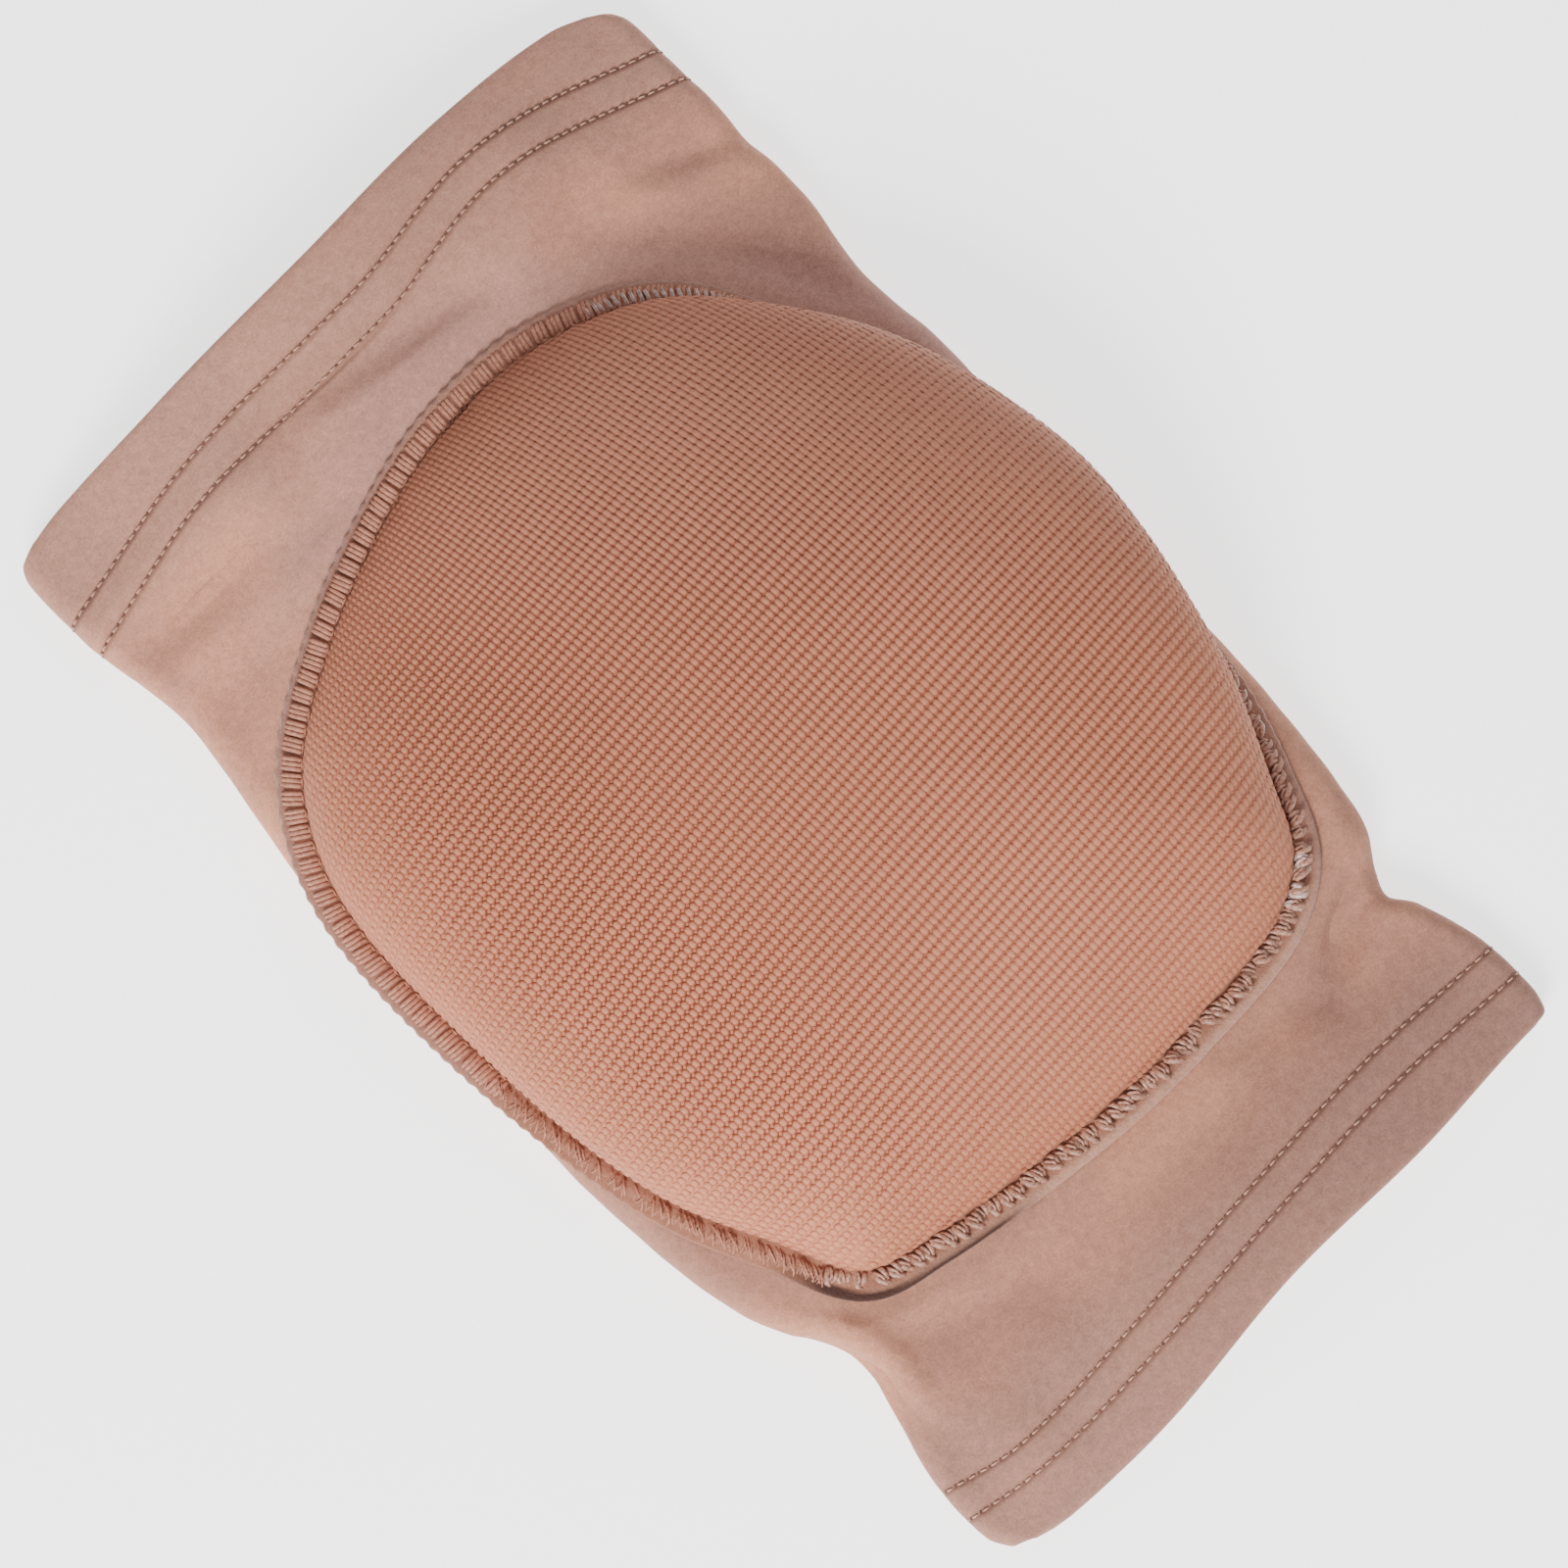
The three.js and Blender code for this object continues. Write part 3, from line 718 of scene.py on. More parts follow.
def seamAt(run):  # place, way out, swell and droop at lengths along the seam
    run = np.asarray(run, float)
    values = readRound(run, seamRun, seamFine)
    ahead, behind = (readRound(run + step, seamRun, seamFine[:, :2]) for step in (0.4, -0.4))
    way = unit(ahead - behind)
    return values[..., :2], np.stack([way[..., 1], -way[..., 0]], -1), values[..., 2], values[..., 3]


def stepsRound(count):
    return np.arange(count) / count * seamLength


# direction round the pad in degrees from its right side, how far the edge reaches out there as a share of
# its width, and how far the dome bulges over it beyond its swell
edgeTuck = [
    (-180, 1.0, 0.5),
    (-166, 0.94, 2.0),
    (-152, 0.92, 2.4),
    (-138, 0.95, 1.1),
    (-124, 1.0, 0.0),
    (-62, 1.0, 0.0),
    (-40, 0.85, 0.4),
    (-25, 0.5, 1.6),
    (-10, 0.3, 2.4),
    (10, 0.22, 2.6),
    (30, 0.24, 2.4),
    (42, 0.45, 1.3),
    (52, 0.8, 0.4),
    (64, 1.0, 0.0),
    (170, 1.0, 0.0),
    (180, 1.0, 0.5),
]


def tuckAt(place):  # direction round the pad, and the tuck's two values there
    away = place - padCentre
    turn = np.degrees(np.arctan2(away[..., 1] / pad["length"], away[..., 0] / pad["width"]))
    values = between(edgeTuck, turn)
    return turn, values[..., 0], values[..., 1]


edge = {
    "width": 5.3,
    "thickness": 1.6,
    "droop": 30.0,
    "pitch": 2.9,
    "scallop": 0.35,
    "plainFrom": (-160, -145, -45, -30),
    "calfLift": 1.3,
    "lifted": (-141, -128, -116, -102),
    "roll": 0.5,
    "rolled": (-179, -168, -138, -126),
    "steps": 800,
}
borderPlace, borderOut, _, _ = seamAt(stepsRound(90))
padBorder = borderPlace + borderOut * edge["width"]


def outsidePad(x, y):  # distance to the pad's border, 0 inside it
    nearest, _ = nearPath(x, y, [*padBorder, padBorder[0]])
    inside = np.zeros(np.shape(x), bool)
    for (ax, ay), (bx, by) in zip(padBorder, np.roll(padBorder, -1, 0)):
        inside ^= ((ay > y) != (by > y)) & (x < ax + (y - ay) * (bx - ax) / (by - ay + 1e-12))
    return np.where(inside, 0.0, nearest)


def domeGrid(rings, count):  # the dome's face by rings from its crest to the seam
    place, out, swell, _ = seamAt(stepsRound(count))
    away = place - padCentre
    toSide = np.cos(np.arctan2(away[:, 1], away[:, 0])) ** 2
    power = pad["endRound"] + (pad["sideRound"] - pad["endRound"]) * toSide
    ring = np.asarray(rings, float)[:, None]
    height = (1 - ring**2) ** power
    bulge = (pad["swell"] * swell + tuckAt(place)[2]) * 4 * height * (1 - height) * ring
    flat = padCentre + away * ring[..., None] + out * bulge[..., None]
    seamTop = seatHeight(place[:, 0], place[:, 1]) + pad["gap"] + edge["thickness"]
    z = seamTop + (pad["height"] - seamTop) * height
    return np.concatenate([flat, z[..., None]], -1)


def ringSpread(count):  # closer rings towards the seam, where the dome is steep
    t = np.linspace(0, 1, count + 1)[1:]
    return np.sin(t * math.pi / 2) ** 0.9


def makeCushion(material):
    count, rings = pad["steps"], ringSpread(pad["rings"])
    dome = domeGrid(rings, count)
    dome[..., 2] -= pad["ground"] * (1 - rings[:, None] ** 8)  # the fabric's ground lies under the ribs
    place = seamAt(stepsRound(count))[0]
    under = []
    for ring in (1.0, 0.95, 0.86, 0.75, 0.6, 0.45, 0.3, 0.15):
        flat = padCentre + (place - padCentre) * ring
        z = seatHeight(flat[:, 0], flat[:, 1]) + pad["underGap" if ring < 1 else "gap"]
        under.append(np.column_stack([flat, z]))
    loops = np.concatenate([dome, np.array(under)])
    faces = wrapFaces(len(loops), count, closed=False).tolist()
    crest, last = len(loops) * count, (len(loops) - 1) * count
    faces += [(crest, i, (i + 1) % count) for i in range(count)]
    faces += [(crest + 1, last + (i + 1) % count, last + i) for i in range(count)]
    seat = seatHeight(padCentre[:1], padCentre[1:])[0] + pad["underGap"]
    ends = [[*padCentre, pad["height"] - pad["ground"]], [*padCentre, seat]]
    piece = newPiece("padCushion", np.vstack([loops.reshape(-1, 3), ends]), faces, material)
    for name, value in knitGround.items():
        addAttribute(piece, name, np.full(len(piece.data.vertices), value))
    return piece


# Knit: cells of the ribbed cover, laid out in the fabric's own directions
ribs = {
    "walePitch": 1.2,
    "coursePitch": 1.97,
    "start": (0.41, 0.37),
    "turn": 0.077,
    "skew": 0.1,
    "wallFrom": 2.6,
    "wallMore": 0.5,
    "most": (2.0, 3.3),
    "lift": -0.05,
    "ridge": 0.24,
    "seed": 4,
    "jitter": 0.04,
    "rings": 40,
    "steps": 120,
}


def fabricMap(dome):  # each dome point's place in the flat fabric, by lengths along rays from the crest
    crest = np.broadcast_to([*padCentre, pad["height"]], dome[:1].shape)
    move = np.diff(np.concatenate([crest, dome]), axis=0)
    plan = np.maximum(np.linalg.norm(move[..., :2], axis=-1), 1e-6)
    steep = np.linalg.norm(move, axis=-1) / plan
    ray = unit(dome[-1, :, :2] - padCentre)
    wall = ribs["wallMore"] * np.maximum(steep - ribs["wallFrom"], 0)
    across = 1 + 0.5 * (1 - np.exp(-0.7 * (steep - 1))) + wall  # the knit stretches where the dome falls away
    thighward, calfward = 1 - np.exp(1 - steep), 0.6 * (1 - np.exp(-1.1 * (steep - 1)))
    lengthwise = 1 + calfward + (thighward - calfward) * smoothStep(ray[:, 1], -0.3, 0.3) + wall
    u = np.cumsum(plan * across * ray[:, 0], axis=0)
    v = np.cumsum(plan * lengthwise * ray[:, 1], axis=0)
    u, v = u + ribs["turn"] * v, v - ribs["turn"] * u
    thighPart = np.maximum(v - 10, 0)
    u = u + ribs["skew"] * smoothStep(u, -45, 15) * thighPart**2 / (thighPart + 30)
    return np.stack([u / ribs["walePitch"], v / ribs["coursePitch"]], -1) + ribs["start"]


def crossFlat(a, b):
    return a[:, 0] * b[:, 1] - a[:, 1] * b[:, 0]


def knitCells():  # middle, way out, way along the leg and size of each cell
    rings = np.concatenate([[0.0005, 0.02], ringSpread(ribs["rings"])])
    dome = domeGrid(rings, ribs["steps"])
    points, spots = dome.reshape(-1, 3), fabricMap(dome).reshape(-1, 2)
    quads = wrapFaces(*dome.shape[:2], closed=False)
    corners = np.concatenate([quads[:, :3], quads[:, [0, 2, 3]]])
    p, q = points[corners], spots[corners]
    edgeA, edgeB = q[:, 1] - q[:, 0], q[:, 2] - q[:, 0]
    sideA, sideB = p[:, 1] - p[:, 0], p[:, 2] - p[:, 0]
    area, faceOut = crossFlat(edgeA, edgeB), np.cross(sideA, sideB)
    pointOut = np.zeros_like(points)
    for k in range(3):
        np.add.at(pointOut, corners[:, k], faceOut)
    pointOut = unit(pointOut)
    low = np.ceil(q.min(1)).astype(int)
    found = {}
    for du in range(9):  # whole places of the fabric that fall inside each triangle
        for dv in range(6):
            cells = low + [du, dv]
            s = crossFlat(cells - q[:, 0], edgeB) / area
            t = crossFlat(edgeA, cells - q[:, 0]) / area
            for i in np.flatnonzero((s >= -1e-6) & (t >= -1e-6) & (s + t <= 1 + 1e-6)):
                found[tuple(cells[i])] = (i, s[i], t[i])
    index, s, t = (np.array(column) for column in zip(*found.values()))
    shares = np.stack([1 - s - t, s, t], -1)[..., None]
    place = (p[index] * shares).sum(1)
    facing = unit((pointOut[corners[index]] * shares).sum(1))
    a, b, size = edgeA[index], edgeB[index], area[index][:, None]
    perU = (sideA[index] * b[:, 1:] - sideB[index] * a[:, 1:]) / size
    perV = (sideB[index] * a[:, :1] - sideA[index] * b[:, :1]) / size
    scale = np.column_stack([np.linalg.norm(perU, axis=1), np.linalg.norm(perV, axis=1)])
    return place, facing, perV, np.minimum(scale, ribs["most"])


def knitCell():  # one raised oval, a unit wide and a unit long
    across, along = (-0.5, -0.19, 0.19, 0.5), (-0.51, -0.2, 0.2, 0.51)
    points, sides, tips = [], [], []
    for j, y in enumerate(along):
        for i, x in enumerate(across):
            side, tip = float(i in (1, 2)), float(j in (1, 2))
            pull = 0.86 if side + tip == 0 else 1.0
            rise = 0.28 - 0.15 * (1 - side) - 0.34 * (1 - tip)
            points.append((x * pull, y * (1 if tip else 0.94 + 0.06 * side), rise))
            sides.append(side)
            tips.append(tip)
    faces = [(j * 4 + i, j * 4 + i + 1, j * 4 + i + 5, j * 4 + i + 4) for j in range(3) for i in range(3)]
    return points, faces, {"side": sides, "tip": tips}


# Geometry Nodes: one shape on every point, turned and sized by the points' own directions
directions = ("facing", "heading", "stretch")


def scatterTree():
    tree = bpy.data.node_groups.new("scatterShapes", "GeometryNodeTree")
    for label, kind in (("Points", "Geometry"), ("Shape", "Object"), ("Finish", "Material"), ("Seed", "Int")):
        tree.interface.new_socket(label, in_out="INPUT", socket_type="NodeSocket" + kind)
    for label in ("Lift", "Wander", "Turn", "Ridge"):
        tree.interface.new_socket(label, in_out="INPUT", socket_type="NodeSocketFloat")
    tree.interface.new_socket("Result", in_out="OUTPUT", socket_type="NodeSocketGeometry")
    given = tree.nodes.new("NodeGroupInput").outputs

    def named(label, kind="FLOAT"):
        return addNode(tree, "GeometryNodeInputNamedAttribute", {"Name": label}, data_type=kind).outputs[0]

    def scaled(vector, amount):
        links = {0: vector, "Scale": amount}
        return addNode(tree, "ShaderNodeVectorMath", links, operation="SCALE").outputs[0]

    def moved(geometry, offset):
        return addNode(tree, "GeometryNodeSetPosition", {"Geometry": geometry, "Offset": offset}).outputs[0]

    facing, heading, stretch = (named(label, "FLOAT_VECTOR") for label in directions)
    links = {0: facing, 1: heading}
    turned = addNode(tree, "FunctionNodeAxesToRotation", links, primary_axis="Z", secondary_axis="Y")
    links = {0: (-1, -1, -1), 1: (1, 1, 1), "Seed": given["Seed"]}
    loose = addNode(tree, "FunctionNodeRandomValue", links, data_type="FLOAT_VECTOR").outputs[0]
    swayed = addNode(tree, "FunctionNodeEulerToRotation", {0: scaled(loose, given["Turn"])})
    links = {0: turned.outputs[0], 1: swayed.outputs[0]}
    rotation = addNode(tree, "FunctionNodeRotateRotation", links, rotation_space="LOCAL")
    links = {0: scaled(facing, given["Lift"]), 1: scaled(loose, given["Wander"])}
    offset = addNode(tree, "ShaderNodeVectorMath", links, operation="ADD").outputs[0]
    shape = addNode(tree, "GeometryNodeObjectInfo", {"Object": given["Shape"]})
    copies = addNode(tree, "GeometryNodeInstanceOnPoints", {
        "Points": moved(given["Points"], offset),
        "Instance": shape.outputs["Geometry"],
        "Rotation": rotation.outputs[0],
        "Scale": scaled(stretch, millimetre),
    })
    real = addNode(tree, "GeometryNodeRealizeInstances", {"Geometry": copies.outputs[0]}).outputs[0]
    filled = times(tree, named("ridge"), less(tree, 1.0, named("tip")))
    sunk = times(tree, times(tree, named("wale"), less(tree, 1.0, named("side"))), 0.45)
    rise = times(tree, less(tree, filled, sunk), given["Ridge"])
    links = {"Geometry": moved(real, scaled(facing, rise)), "Material": given["Finish"]}
    done = addNode(tree, "GeometryNodeSetMaterial", links)
    tree.links.new(done.outputs[0], tree.nodes.new("NodeGroupOutput").inputs[0])
    return tree


scatter = scatterTree()


def scatterPiece(name, shape, placed, material, pointMarks=None, **values):
    points, faces, marks = shape
    places, *ways = placed
    model = newObject(name + "Shape", points, faces)
    model.data.shade_smooth()
    for label, numbers in marks.items():
        addAttribute(model, label, numbers)
    holder = newObject(name + "Points", onFrame(places).tolist())
    for label, numbers in zip(directions, ways):
        addAttribute(holder, label, numbers, "FLOAT_VECTOR")
    for label, numbers in (pointMarks or {}).items():
        addAttribute(holder, label, numbers)
    modifier = holder.modifiers.new("scatter", "NODES")
    modifier.node_group = scatter
    given = {"Shape": model, "Finish": material, **values}
    for item in scatter.interface.items_tree:
        if item.name in given:
            modifier[item.identifier] = given[item.name]
    ready = holder.evaluated_get(bpy.context.evaluated_depsgraph_get())
    mesh = bpy.data.meshes.new_from_object(ready)
    for label in directions:
        if label in mesh.attributes:
            mesh.attributes.remove(mesh.attributes[label])
    mesh.name = name
    for extra in (holder, model):
        data = extra.data
        bpy.data.objects.remove(extra)
        bpy.data.meshes.remove(data)
    print(name, "triangles", len(mesh.loops) - 2 * len(mesh.polygons))
    return addObject(name, mesh)


def makeKnit(material):
    place, facing, heading, scale = knitCells()
    x, y = place[:, 0], place[:, 1]
    upward, rightward = 0.69 * x + 0.71 * y, 0.72 * x - 0.7 * y  # as the photo shows the pad
    deep = smoothStep(-x, 5, 45) * (1 - smoothStep(upward, 10, 45))
    # deep, ridge and wale shape the ribs' relief, and they also set the painted shade in the knit's colour
    marks = {
        "deep": deep,
        "ridge": smoothStep(upward, 12, 62) - 0.35 * deep,
        "wale": 1 - smoothStep(rightward, -10, 35) - 0.7 * smoothStep(upward, 20, 60),
    }
    placed = (place, facing, heading, np.column_stack([scale, np.ones(len(place))]))
    return scatterPiece(
        "padKnit", knitCell(), placed, material, marks, Turn=ribs["jitter"], Seed=ribs["seed"],
        Lift=ribs["lift"] * millimetre, Ridge=ribs["ridge"] * millimetre,
    )


# Edge of the pad: a soft band outside the seam, drawn in a little at every overlock stitch
def bandPlace(run, reach, up):
    place, out, _, droop = seamAt(run)
    reach = (reach - pad["gap"]) * tuckAt(place)[1]
    fall = np.radians(edge["droop"] * droop)
    flat = place + out * ((pad["gap"] + reach) * np.cos(fall) + up * np.sin(fall))[..., None]
    z = seatHeight(flat[..., 0], flat[..., 1]) + pad["gap"] + up * np.cos(fall) - reach * np.sin(fall)
    return np.concatenate([flat, z[..., None]], -1)


# the band's section: reach out from the seam, height
bandProfile = [
    (-0.7, 1.5), (0.0, 1.55), (0.5, 1.3), (1.2, 1.35), (2.1, 1.4), (2.9, 1.25), (3.5, 1.0), (4.2, 0.95),
    (4.9, 0.85), (5.3, 0.5), (5.2, 0.2), (4.7, 0.0), (2.65, 0.0), (-0.7, 0.0),
]


def makeBand(material):
    run = stepsRound(edge["steps"])
    reach, up = np.array(bandProfile).T[..., None]
    stitchCount = round(seamLength / edge["pitch"])
    draw = 0.5 + 0.5 * np.cos(run / seamLength * stitchCount * 2 * math.pi)
    turn = tuckAt(seamAt(run)[0])[0]
    lifted = within(turn, *edge["lifted"])
    outerShare = np.maximum(reach - 2.5, 0) / (edge["width"] - 2.5)
    away = reach - edge["scallop"] * draw * outerShare * (1 - within(turn, *edge["plainFrom"]))
    rise = up * (1 - 0.1 * draw) + edge["calfLift"] * lifted * outerShare
    roundTop = np.maximum(1 - ((reach - 2.0) / 1.9) ** 2, 0) * (up > 0.9)
    rise = rise + edge["roll"] * within(turn, *edge["rolled"]) * roundTop
    points = bandPlace(run, away, rise)
    piece = newPiece("padEdge", points.reshape(-1, 3), wrapFaces(*points.shape[:2]), material)
    # painted shadow of the gap under the lifted outer edge; its dark colour starts nearer the seam at the
    # corner
    slitShadowStart = 3.9 - 1.2 * np.exp(-(((turn + 133) / 6) ** 2))  # it gapes at the corner
    marks = {
        "outerSide": smoothStep(reach, 3.2, 4.0),
        "calfSide": within(turn, -144, -130, -60, -45),
        "rolledSide": within(turn, -179, -170, -136, -126),
        "slitShadowSide": np.minimum(lifted * 1.3, 1) * smoothStep(reach - slitShadowStart, 0, 0.7),
    }
    for name, values in marks.items():
        addAttribute(piece, name, np.broadcast_to(values, away.shape))
    return piece


def tube(path, radius, sides=6):  # a thread along a path, closed at both ends
    path = np.asarray(path, float)
    way = unit(np.gradient(path, axis=0))
    aside = np.cross(way, [0.0, 0.0, 1.0])
    weak = np.linalg.norm(aside, axis=1) < 0.2
    aside[weak] = np.cross(way[weak], [1.0, 0.0, 0.0])
    aside = unit(aside)
    above = np.cross(aside, way)
    turn = (np.arange(sides) / sides * 2 * math.pi)[None, :, None]
    ring = np.cos(turn) * aside[:, None] + np.sin(turn) * above[:, None]
    size = radius * np.ones((len(path), 1, 1))
    size[[0, -1]] *= 0.5
    points = (path[:, None] + ring * size).reshape(-1, 3)
    faces = wrapFaces(len(path), sides, closed=False).tolist()
    last = (len(path) - 1) * sides
    faces += [list(range(sides)), [last + i for i in range(sides)][::-1]]
    return points.tolist(), faces


def joinShapes(*shapes):
    points, faces = [], []
    for morePoints, moreFaces in shapes:
        faces += [[index + len(points) for index in face] for face in moreFaces]
        points += morePoints
    return points, faces, {}


def ladderStitch():  # three flat strands side by side over the seam, held by a short one along it
    bars = []
    for k, radius in ((0.42, 0.5), (1.27, 0.53), (2.12, 0.5)):
        path = [(0.0, k, -0.2), (0.5, k + 0.1, 0.08), (1.8, k, 0.12)]
        path += [(3.0, k - 0.1, 0.0), (3.7, k - 0.2, -0.3)]
        bars.append(tube(path, radius, 5))
    line = tube([(0.1, 0.1, 0.0), (0.15, 1.2, 0.36), (0.1, 2.3, 0.0)], 0.24, 5)
    return joinShapes(*bars, line)


def strokeStitch():  # a slanted shiny strand over the seam
    first = tube([(0.3, 0.0, 0.1), (1.0, 0.15, 0.6), (2.1, 0.45, 0.6), (3.1, 0.8, 0.1)], 0.2)
    second = tube([(0.3, 0.35, 0.1), (1.1, 0.5, 0.5), (2.1, 0.8, 0.55), (3.0, 1.1, 0.1)], 0.14)
    return joinShapes(first, second)


def bunchedStitch():  # plump loops of thread that lie over one another
    wide = [(0.1, -0.5, -0.1), (0.7, -0.8, 0.4), (1.9, -0.4, 0.55), (2.9, 0.4, 0.3), (3.1, 1.1, -0.1)]
    small = [(0.0, 0.3, 0.0), (0.5, 0.9, 0.45), (1.5, 1.1, 0.4), (2.5, 0.9, 0.1)]
    over = [(0.0, -0.9, 0.3), (0.7, -0.1, 0.8), (1.7, 0.5, 0.85), (2.8, 0.3, 0.3)]
    return joinShapes(tube(wide, 0.58, 6), tube(small, 0.52, 6), tube(over, 0.34, 5))


def rolledStitch():  # fine slanted strands over the rolled edge
    first = [(0.6, 0.0, 0.1), (1.4, 0.3, 0.55), (2.4, 0.9, 0.6), (3.4, 1.6, 0.2), (3.9, 1.9, -0.3)]
    second = [(0.8, 0.5, 0.1), (1.7, 0.6, 0.6), (2.8, 0.5, 0.5), (3.8, 0.3, 0.0)]
    return joinShapes(tube(first, 0.17, 5), tube(second, 0.12, 4))


# painted shade of a needle hole: a flat dark disc
def edgeHoleShade():  # where the needle pulls the knit down, between two stitches
    turn = np.arange(7) / 7 * 2 * math.pi
    points = [(-0.25 + 0.42 * math.cos(a), 2.6 + 0.22 * math.sin(a), 0.16) for a in turn]
    return points, [list(range(7))], {}


# the overlock: piece, stitch, thread, from and to in degrees round the pad, pitch, turn, wander, lift, seed
overlockStretches = [
    ("ladderStitches", ladderStitch, "overlockThread", 56, 185, 2.9, 0.07, 0.1, 0.0, 7),
    ("strokesStitches", strokeStitch, "paleThreadAndGlint", 38, 66, 1.35, 0.12, 0.1, 0.0, 7),
    ("bunchedStitches", bunchedStitch, "loopThread", -132, -30, 2.3, 0.4, 0.4, 0.0, 7),
    ("narrowStitches", ladderStitch, "overlockThread", -30, 56, 2.9, 0.05, 0.0, 0.0, 7),
    ("rolledStitches", rolledStitch, "overlockThread", -178, -133, 0.8, 0.35, 0.2, 0.0, 7),
    # painted shade: dark discs in the needle holes along the ladder stitches
    ("edgeHoles", edgeHoleShade, "needleHoleShade", 56, 185, 2.9, 0.05, 0.05, 0.0, 7),
    # painted highlight: loops in the pale thread that stand in for glints at the corner
    ("cornerLoops", bunchedStitch, "paleThreadAndGlint", -55, -50, 2.2, 0.4, 0.0, 0.3, 5),
]
seamReach = 0.3  # how far outside the seam the stitches start


def overlockPlaces(start, end, pitch):
    fine = np.arange(0, seamLength, 0.5)
    turn = tuckAt(seamAt(fine)[0])[0]
    inside = ((turn >= start) & (turn < end)) | (turn < end - 360)
    begin = fine[np.flatnonzero(inside & ~np.roll(inside, 1))[0]]
    run = begin + np.arange(0, inside.sum() * 0.5, pitch)
    zero, one = np.zeros(len(run)), np.ones(len(run))
    reach = one * seamReach
    facing = bandPlace(run, reach, one) - bandPlace(run, reach, zero)
    heading = bandPlace(run + 0.5, reach, zero) - bandPlace(run - 0.5, reach, zero)
    width = np.maximum(tuckAt(seamAt(run)[0])[1], 0.35)
    return bandPlace(run, reach, one * 1.3), facing, heading, np.column_stack([width, one, one])


def makeOverlock(finishes):
    return [
        scatterPiece(
            name, shape(), overlockPlaces(start, end, pitch), finishes[thread],
            Turn=turn, Wander=wander * millimetre, Lift=lift * millimetre, Seed=seed,
        )
        for name, shape, thread, start, end, pitch, turn, wander, lift, seed in overlockStretches
    ]


# Stitch rows of the hems
stitch = {
    "pitch": 2.0,
    "calfPitch": 2.27,
    "length": 1.35,
    "radius": 0.18,
    "hole": 0.3,
    "drawnIn": 0.3,
    "pressed": 0.24,
}


def rowPlaces(table, column, start, pitch):  # places and directions of the stitches round one row
    fine = np.linspace(0, 4, 1600, endpoint=False)
    along = np.full(len(fine), start)
    for _ in range(5):
        points = sleeveFace(along, fine)
        along = along + (rowsAt(table, points[:, 0])[:, column] - points[:, 1]) / sleeve["length"]
    points, normal = sleeveFace(along, fine), sleeveNormal(along, fine)
    points = points + normal * (clothRipple(points) * smoothStep(points[:, 2], *sleeve["offFloor"]))[:, None]
    run = closedRun(points)
    count = round(run[-1] / pitch)
    at = np.arange(count) / count * run[-1]
    heading = readRound(at + 0.8, run, points) - readRound(at - 0.8, run, points)
    return readRound(at, run, points), readRound(at, run, normal), heading


def makeStitches(thread, dark):
    sets = [
        rowPlaces(table, column, start, pitch)
        for table, start, pitch in ((thighRows, 0.9, stitch["pitch"]), (calfRows, 0.1, stitch["calfPitch"]))
        for column in (0, 1)
    ]
    place, facing, heading = (np.concatenate(parts) for parts in zip(*sets))
    upright = facing[:, 2:]
    inward = stitch["drawnIn"] * (1 - smoothStep(np.abs(upright), 0.2, 0.7))  # at the side folds
    inward = inward + stitch["pressed"] * smoothStep(-upright, 0.5, 0.9)  # flat underneath
    placed = (place - facing * inward, facing, heading, np.ones((len(place), 3)))
    half, wide = stitch["length"] / 2, stitch["hole"]
    arch = ((-1, -0.12), (-0.6, 0.12), (0, 0.18), (0.6, 0.12), (1, -0.12))
    path = [(0, half * share, up) for share, up in arch]
    # a flat dark disc between stitches: painted shade in the needle hole
    turns = np.arange(8) / 8 * 2 * math.pi
    ring = [(wide * math.cos(a), wide * math.sin(a) + stitch["pitch"] / 2, 0.04) for a in turns]
    shape, hole = joinShapes(tube(path, stitch["radius"])), (ring, [list(range(8))], {})
    return [
        scatterPiece("hemStitches", shape, placed, thread, Turn=0.08, Lift=0.12 * millimetre, Seed=3),
        scatterPiece("needleHoles", hole, placed, dark, Turn=0.02, Lift=0.1 * millimetre, Seed=3),
    ]


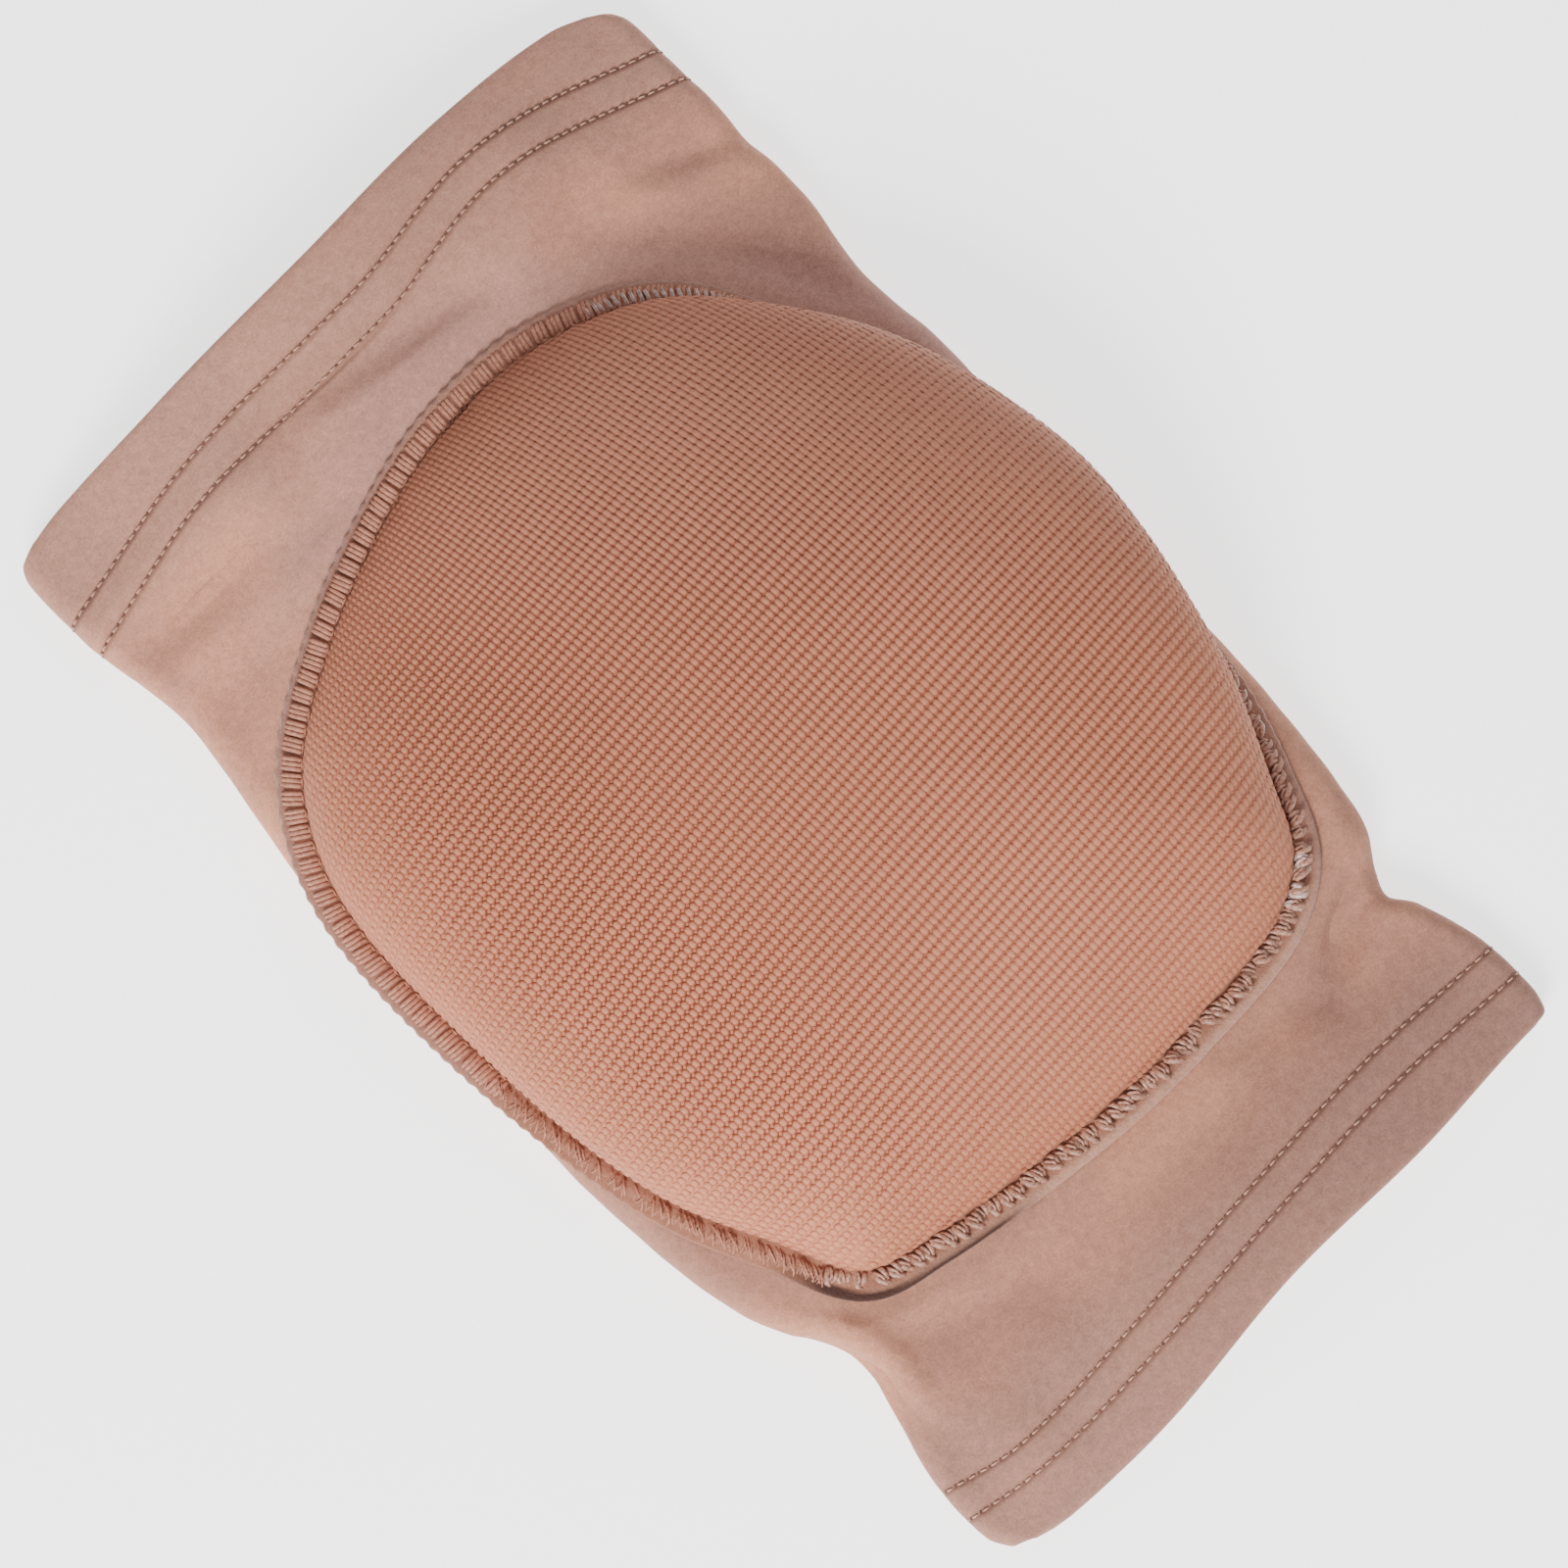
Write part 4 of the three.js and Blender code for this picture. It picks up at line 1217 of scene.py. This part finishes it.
# Floor and light
studio = {
    "floor": (244, 242, 240),
    "floorHalf": 4.0,
    "floorDrop": 0.0003,
    "floorGlow": 2.0,
    "sky": 0.66,
    "skyColour": (0.8, 0.9, 1.0, 1),
}
# lights: place, width and power
lights = {"keyLight": ((-0.74, -0.48, 0.72), 0.5, 24.0), "fillLight": ((0.6, 0.3, 0.9), 0.8, 3.2)}


def makeStudio():
    pale = tone(*studio["floor"])
    material, _ = newMaterial(
        "paleFloor", 0.9, Base_Color=pale, Emission_Color=pale, Emission_Strength=studio["floorGlow"]
    )
    half = studio["floorHalf"]
    corners = [(x * half, y * half, -studio["floorDrop"]) for x, y in ((-1, -1), (1, -1), (1, 1), (-1, 1))]
    floor = newObject("floor", corners, [(0, 1, 2, 3)])
    floor.data.materials.append(material)
    world = bpy.data.worlds.new("softSky")
    world.use_nodes = True
    sky = world.node_tree.nodes["Background"].inputs
    sky["Color"].default_value, sky["Strength"].default_value = studio["skyColour"], studio["sky"]
    bpy.context.scene.world = world
    for name, (place, size, power) in lights.items():
        data = bpy.data.lights.new(name, "AREA")
        data.energy, data.size = power, size
        light = addObject(name, data)
        light.location = place
        light.rotation_mode = "QUATERNION"
        light.rotation_quaternion = Vector(place).to_track_quat("Z", "Y")


makeCamera()
makeStudio()
print("camera and light ready")

knitFinish = knitMaterial()
finishes = {name: threadMaterial(name, *values) for name, values in threads.items()}

sleeveCloth = makeSleeve(clothMaterial())
print("sleeve ready")
padCushion = makeCushion(knitFinish)
padKnit = makeKnit(knitFinish)
print("pad ready")
padEdge = makeBand(edgeMaterial())
overlock = makeOverlock(finishes)
stitches = makeStitches(finishes["hemThread"], finishes["needleHoleShade"])
print("edge and stitches ready")

for piece, slot, nodes in (
    (sleeveCloth, "stretch_cloth", ["sleeve", "thigh_hem", "calf_hem"]),
    (padCushion, "ribbed_knit", ["pad_cushion"]),
    (padKnit, "ribbed_knit", ["pad_cushion"]),
    (padEdge, "overlock_thread", ["pad_edge"]),
    *((piece, "overlock_thread", []) for piece in overlock),
    *((piece, "hem_cloth", []) for piece in stitches),
):
    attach(piece, "root")
    if nodes:
        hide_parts(*nodes)
